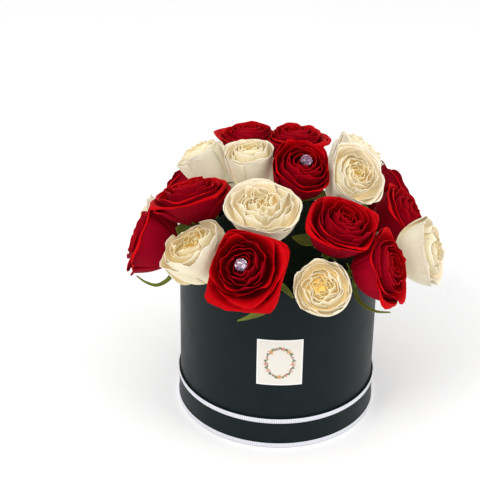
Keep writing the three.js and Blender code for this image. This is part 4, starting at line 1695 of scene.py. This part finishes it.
        side = np.abs(u)
        nick = 0.008 * np.sin(11 * u + 5 * self.wobble(k, 8))
        nick = nick + 0.006 * np.sin(23 * u + 9 * self.wobble(k, 9))
        s = v * (1 - form.crown * side**2.4 + nick * v**4)
        foot = 1.0 + 9.0 * (1 - layer)
        lip_radius = belly + (rim - belly) * (0.35 - 0.25 * flare)
        tip_radius = rim * (1 - form.corner * layer * side**1.6)
        tip_height = top - form.corner * height * flare * u * u - 0.06 * height * flare
        roll = flare * radius * 0.1 * s**6
        point = form.point * radius * layer**2 * np.exp(-((u / 0.2) ** 2)) * s**8
        r = bezier(s, 2 + 4 * layer, belly, lip_radius, tip_radius) + point + 0.5 * roll
        z = bezier(s, foot, foot + 0.06 * height, top * (0.8 + 0.3 * flare), tip_height) - 0.9 * roll

        wave, fine = np.pi * self.wobble(k, 5), np.pi * self.wobble(k, 6)
        size = form.ruffle * (0.5 + 0.5 * layer) + form.ruffle_in * np.sin(np.pi * layer)
        waves = np.sin(4.2 * u + wave) + 0.5 * np.sin(8.5 * u + fine) + 0.3 * s**4 * np.sin(15 * u - wave)
        ruffle = site.ruffle * size * s**3 * waves
        r = r + ruffle + (0.9 + 1.6 * layer) * u * s
        z = z + 0.6 * ruffle * np.cos(3 * u + fine)
        half = np.radians(form.span_in + (form.span_out - form.span_in) * layer**0.7)
        turn = start + half * u * (1 - 0.1 * s**6)
        grid = np.stack([r * np.cos(turn), r * np.sin(turn), z], -1)
        return self.to_box(grid), self.petal_values(k, u, v)

    def petal_values(self, k: np.ndarray, u: np.ndarray, v: np.ndarray) -> dict[str, np.ndarray]:
        """What the skin reads at each point of the petals.

        The heart's share is a power of one less the layer, wider and stronger in a closed rose.
        Outermost grows from 0 at layer 0.55 to 1, lip from 0 at v = 0.9 to 1, and tone is a
        fixed value for each petal.

        Args:
            k: Numbers of the petals.
            u: Places from edge to edge.
            v: Places from base to tip.

        Returns:
            Arrays of shape (petals, across, along) by attribute name.
        """
        openness = self.site.openness
        layer = 1 - k / (self.form.petals - 1)
        power = self.form.blush * min(1.0, 0.45 + 0.85 * openness)
        values = {
            "along": v,
            "heart": (1 - layer) ** power * (1.45 - 0.6 * openness),
            "outermost": np.clip((layer - 0.55) / 0.45, 0, 1),
            "tone": 0.5 + 0.5 * self.wobble(k, 7),
            "lip": np.clip((v - 0.9) / 0.1, 0, 1) ** 1.5,
            "across": (u + 1) / 2,
        }
        shape = np.broadcast_shapes(k.shape, u.shape, v.shape)
        return {name: np.broadcast_to(value, shape) for name, value in values.items()}

    def petals(self) -> bpy.types.Object:
        """All petals of the head as one piece, each a closed sheet that thins towards the lip.

        Returns:
            The piece.
        """
        grid, values = self.petal_grids()
        thick = self.petal_wall - (self.petal_wall - self.lip_wall) * values["along"] ** 3
        points, faces = thick_sheets(grid, thick)
        flat = {key: np.tile(value.reshape(-1), 2) for key, value in values.items()}
        flat["inside"] = np.repeat([0.0, 1.0], grid[..., 0].size)
        uv = np.stack([flat.pop("across"), flat["along"]], -1)
        return build_mesh(f"{self.site.name}_bloom", points, faces, flat, uv)

    def stem_line(self) -> np.ndarray:
        """Points down the middle of the stem, from under the hip to its foot in the foam.

        The foot stands nearer the middle of the box than the head, by a fixed share. Under a low
        outer rose the stem first goes over the rim to a gate inside it; under any other it goes
        on down from the hip for a little before it bends towards the foot.

        Returns:
            Its start, its bend and its foot.
        """
        start, above = self.to_box(np.array([[0, 0, self.stem_start], [0, 0, 0]]))
        out = math.hypot(start[0], start[1])
        share = 0.6 if out > 70 else 0.55
        foot = np.array([start[0] * share, start[1] * share, self.stem_foot])
        if out > 81 and start[2] < 200:
            over = min(self.gate_radius, out - 3) / out
            gate = np.array([start[0] * over, start[1] * over, max(self.gate_height, start[2] - 2)])
            return np.stack([start, gate, foot])
        bend = start + 12 * unit(start - above)
        return np.stack([start, (bend + start + (foot - start) * 0.25) / 2, foot])

    def stem(self) -> Surface:
        """Hip and stem as one tube whose radius swells under the head.

        The bend is eased by the curve (1-t)^2 a + 2t(1-t) b + t^2 c round the bend b.

        Returns:
            Points and faces.
        """
        zeros = np.zeros(len(self.hip_heights))
        hip = self.to_box(np.stack([zeros, zeros, self.hip_heights], -1))
        start, bend, foot = self.stem_line()
        before = bend + unit(start - bend) * min(self.bend_cut, np.linalg.norm(start - bend) / 2)
        after = bend + unit(foot - bend) * self.bend_cut
        t = np.linspace(0, 1, 6)[:, None]
        corner = (1 - t) ** 2 * before + 2 * t * (1 - t) * bend + t**2 * after
        run = after + (foot - after) * np.linspace(0, 1, 9)[1:, None]
        line = np.concatenate([hip, [start], corner, run])
        radius = np.full(len(line), self.stem_radius)
        radius[: len(self.hip_radii)] = self.hip_radii
        centre, first = self.to_box(np.array([[0, 0, -3.5], [4.6, 0, -3.5]]))
        return tube(line, radius, self.stem_sides, first - centre)

    def sepals(self) -> np.ndarray:
        """Five pointed sepals under the head.

        With q from root to tip and p from edge to edge, the middle line runs out to 15 mm and
        droops by 4.5 q^2, and the width follows (1 - q)^0.8 with fine teeth.

        Returns:
            Grids of shape (5, across, along, 3) in the box.
        """
        count = self.sepal_count
        p = np.linspace(-1, 1, 5)[None, :, None]
        q = np.linspace(0, 1, 13)[None, None, :]
        turn = -2 * np.pi * np.arange(count)[:, None, None] / count - np.pi / count
        r = 3.9 + 11.4 * q
        width = 2.6 * (1 - q) ** 0.8 * (1 + 0.12 * np.sin(22 * q)) + 0.25
        z = -1.65 + 0.6 * np.sin(np.pi * q) - 4.5 * q**2 - 0.5 * np.abs(p) * width
        side = p * width
        x = r * np.cos(turn) - side * np.sin(turn)
        y = r * np.sin(turn) + side * np.cos(turn)
        return self.to_box(np.stack([x, y, z + 0 * x], -1))

    def greenery(self) -> bpy.types.Object:
        """Stem, hip, sepals and any leaves of the rose as one green piece.

        The tip attribute runs from 0 at the root of a sepal or leaf to 1 at its tip.

        Returns:
            The piece.
        """
        stem = self.stem()
        count = len(stem[0])
        parts = [stem]
        tips = [np.zeros(count)]
        places = [np.stack([np.linspace(0, 1, count), np.zeros(count)], -1)]
        leaves = [leaf.grid() for leaf in LEAVES if leaf.rose == self.site.name]
        for grid in [self.sepals(), *leaves]:
            shape = grid.shape[:3]
            q = np.broadcast_to(np.linspace(0, 1, shape[2]), shape).reshape(-1)
            p = np.broadcast_to(np.linspace(0, 1, shape[1])[None, :, None], shape).reshape(-1)
            parts.append(thick_sheets(grid, self.leaf_wall))
            tips.append(np.tile(q, 2))
            places.append(np.tile(np.stack([p, q], -1), (2, 1)))
        points, faces = joined(parts)
        values = {"tip": np.concatenate(tips)}
        return build_mesh(f"{self.site.name}_green", points, faces, values, np.concatenate(places))


@dataclass
class CrystalPin:
    """Cut glass stone on a thin pin, in the heart of an open rose.

    Attributes:
        radius: Radius of the stone.
        pin: Radius of the pin.
        sides: Facets round.
        seat: Height of the stone, as a share of the rose's height.
        pin_rings: Rings of points that belong to the pin.
        seed: What the draw of the tints starts from.
        finish: Glass and silver.
    """

    radius: float = 6.0
    pin: float = 0.9
    sides: int = 12
    seat: float = 0.87
    pin_rings: int = 3
    seed: int = 40
    finish: CrystalFinish = field(default_factory=CrystalFinish)

    def rings(self, height: float) -> np.ndarray:
        """Rings of points from the pin's point to the flat table, some turned by half a facet.

        Args:
            height: Height at which the stone sits.

        Returns:
            Points in the rose's own axes, shape (rings, sides, 3).
        """
        radius, pin = self.radius, self.pin
        stations = [
            (0.25, -24, 0),
            (pin, -21, 0),
            (pin, -4.4, 0),
            (0.62 * radius, -4.3, 0),
            (0.98 * radius, 0.2, 0.5),
            (radius, 0.8, 0.5),
            (0.99 * radius, 1.6, 0.5),
            (0.82 * radius, 3.2, 0),
            (0.55 * radius, 4.3, 0.5),
        ]
        r, z, shift = np.array(stations).T[..., None]
        turn = 2 * np.pi * np.arange(self.sides) / self.sides + shift * 2 * np.pi / self.sides
        return np.stack([r * np.cos(turn), r * np.sin(turn), height + z + 0 * turn], -1)

    def build(self, rose: Rose, number: int, skin: bpy.types.Material) -> None:
        """Facets between the rings and over both ends; each stone facet keeps a painted reflection as its
        tint, and the pin is silver.

        Args:
            rose: The rose it stands in.
            number: Which stone this is.
            skin: Its material.
        """
        placed = rose.place(self.rings(self.seat * rose.site.height))
        index = np.arange(placed[..., 0].size).reshape(-1, self.sides)
        quads = quad_grid(np.concatenate([index, index[:, :1]], 1))
        blocks = [quads[:, [0, 3, 2]], quads[:, [0, 2, 1]]]
        for row in (index[0][::-1], index[-1]):
            blocks.append(np.stack([np.full(self.sides - 2, row[0]), row[1:-1], row[2:]], -1))
        triangles = np.concatenate(blocks)
        corners = placed.reshape(-1, 3)[triangles].reshape(-1, 3)
        draw = np.random.default_rng(self.seed + number)
        painted_reflections = np.array(self.finish.painted_reflections)
        # Each facet of the stone takes a painted reflection, light or dark, drawn at random
        tint = painted_reflections[draw.integers(0, len(painted_reflections), len(triangles))]
        metal = (triangles.max(1) < self.pin_rings * self.sides)[:, None]
        tint = np.where(metal, np.array(self.finish.silver), tint)
        colours = np.repeat(np.concatenate([tint, np.ones((len(tint), 1))], -1), 3, axis=0)
        faces = np.arange(len(corners)).reshape(-1, 3)
        piece = build_mesh(f"crystal_stone_{number}", corners, [faces], {"facet": colours}, smooth=False)
        declare(piece, skin, f"crystal_pin_{number}")


@dataclass
class Bouquet:
    """The twenty-four roses and the two stones pinned in them.

    Attributes:
        box_radius: Outer radius of the box.
        box_top: Height of its rim above the table.
        rim_margin: How far inside the rim a head still keeps clear of it.
        rim_gap: Distance that is kept from the rim.
        least_contact: Share of the distance between two heads that their reaches fill at least
            where a plane parts them.
    """

    box_radius: float = 100.0
    box_top: float = 180.0
    rim_margin: float = 8.0
    rim_gap: float = 1.5
    least_contact: float = 0.75

    def __post_init__(self) -> None:
        """Sets the roses out and parts them."""
        self.roses = [Rose(site) for site in SITES]
        for number, rose in enumerate(self.roses):
            for other in self.roses[number + 1 :]:
                self.part(rose, other)
            self.part_from_rim(rose)

    def part(self, rose: Rose, other: Rose) -> None:
        """Puts a plane between two heads that come close.

        The plane shares the distance between their middles in proportion to how far each
        reaches towards the other.

        Args:
            rose: One rose.
            other: The other one.
        """
        apart = other.middle - rose.middle
        far = float(np.linalg.norm(apart))
        normal = apart / far
        own_reach, other_reach = rose.reach(normal), other.reach(-normal)
        if own_reach + other_reach < self.least_contact * far:
            return
        share = far * own_reach / (own_reach + other_reach)
        rose.planes.append((normal, share - rose.cell_gap))
        other.planes.append((-normal, far - share - other.cell_gap))

    def part_from_rim(self, rose: Rose) -> None:
        """Puts a plane between an outer head and the nearest point of the box rim.

        Args:
            rose: The rose.
        """
        x, y = rose.middle[:2]
        out = math.hypot(x, y)
        if out > self.box_radius - self.rim_margin:
            rim = np.array([x * self.box_radius / out, y * self.box_radius / out, self.box_top])
            apart = rim - rose.middle
            far = float(np.linalg.norm(apart))
            rose.planes.append((apart / far, far - self.rim_gap))

    def build(self) -> None:
        """Makes each bloom with its greenery, and the stones."""
        skins = {Variety.RED: RED_FINISH.material(), Variety.CREAM: CREAM_FINISH.material()}
        green = LeafFinish().material()
        pin = CrystalPin()
        glass = pin.finish.material()
        for rose in self.roses:
            name, variety = rose.site.name, rose.site.variety
            declare(rose.petals(), skins[variety], f"{name}_petals")
            declare(rose.greenery(), green, f"{name}_stem")
            if name in GEM_ROSES:
                pin.build(rose, GEM_ROSES.index(name) + 1, glass)


@dataclass
class Studio:
    """Pale floor, soft light and the camera.

    Attributes:
        distance: Metres from the camera to its aim.
        pitch: Degrees that it looks down.
        roll: Degrees that it is rolled.
        lens: Focal length in millimetres.
        sensor: Width of its sensor in millimetres.
        aim: Point in the middle of its view, in metres.
        lit: Point that the lights are turned to, in metres.
        world: Strength of the light from all round.
        floor_edge: Half the side of the floor, in millimetres.
    """

    distance: float = 1.4
    pitch: float = 28.8
    roll: float = 0.75
    lens: float = 104.6
    sensor: float = 36.0
    aim: Point = (-0.0395, 0.0, 0.181)
    lit: Point = (0.0, 0.0, 0.2)
    world: float = 0.95
    floor_edge: float = 3000.0

    def light(self, name: str, place: Point, size: float, power: float) -> None:
        """A square soft light turned towards the bouquet.

        Args:
            name: Name of the light.
            place: Where it stands, in metres.
            size: Length of its side in metres.
            power: Power in watts.
        """
        lamp = bpy.data.lights.new(name, "AREA")
        lamp.size = size
        lamp.energy = power
        obj = bpy.data.objects.new(name, lamp)
        obj.location = place
        obj.rotation_mode = "QUATERNION"
        obj.rotation_quaternion = (Vector(self.lit) - Vector(place)).to_track_quat("-Z", "Y")
        bpy.context.scene.collection.objects.link(obj)

    def camera(self) -> None:
        """Looks at the aim from the front, pitched down, with a small roll."""
        data = bpy.data.cameras.new("camera")
        data.sensor_width = self.sensor
        data.lens = self.lens
        obj = bpy.data.objects.new("camera", data)
        pitch = math.radians(self.pitch)
        forward = Vector((0, math.cos(pitch), -math.sin(pitch)))
        roll = Quaternion(forward, -math.radians(self.roll))
        obj.location = Vector(self.aim) - forward * self.distance
        obj.rotation_mode = "QUATERNION"
        obj.rotation_quaternion = roll @ forward.to_track_quat("-Z", "Y")
        bpy.context.scene.collection.objects.link(obj)
        bpy.context.scene.camera = obj

    def build(self) -> None:
        """Sets up the world, the floor, the lights and the camera."""
        scene = bpy.context.scene
        world = bpy.data.worlds.new("studio")
        world.use_nodes = True
        background = world.node_tree.nodes["Background"]
        background.inputs["Color"].default_value = (1, 1, 1, 1)
        background.inputs["Strength"].default_value = self.world
        scene.world = world
        scene.view_settings.view_transform = "Standard"
        edge = self.floor_edge
        corners = np.array([[-edge, -edge, 0], [edge, -edge, 0], [edge, edge, 0], [-edge, edge, 0]])
        floor = build_mesh("floor", corners, [np.array([[0, 1, 2, 3]])], smooth=False)
        floor.data.materials.append(FloorFinish().material())
        self.light("key_light", (-0.9, -1.0, 1.5), 0.8, 15)
        self.light("fill_light", (1.3, -0.6, 0.9), 1.0, 8)
        self.camera()


def main() -> None:
    """Builds the studio, the box and the bouquet."""
    logging.basicConfig(level=logging.INFO, format="%(message)s")
    Studio().build()
    HatBox().build()
    RibbonTrim().build()
    Label().build()
    Filling().build()
    Bouquet().build()


if __name__ == "__main__":
    main()
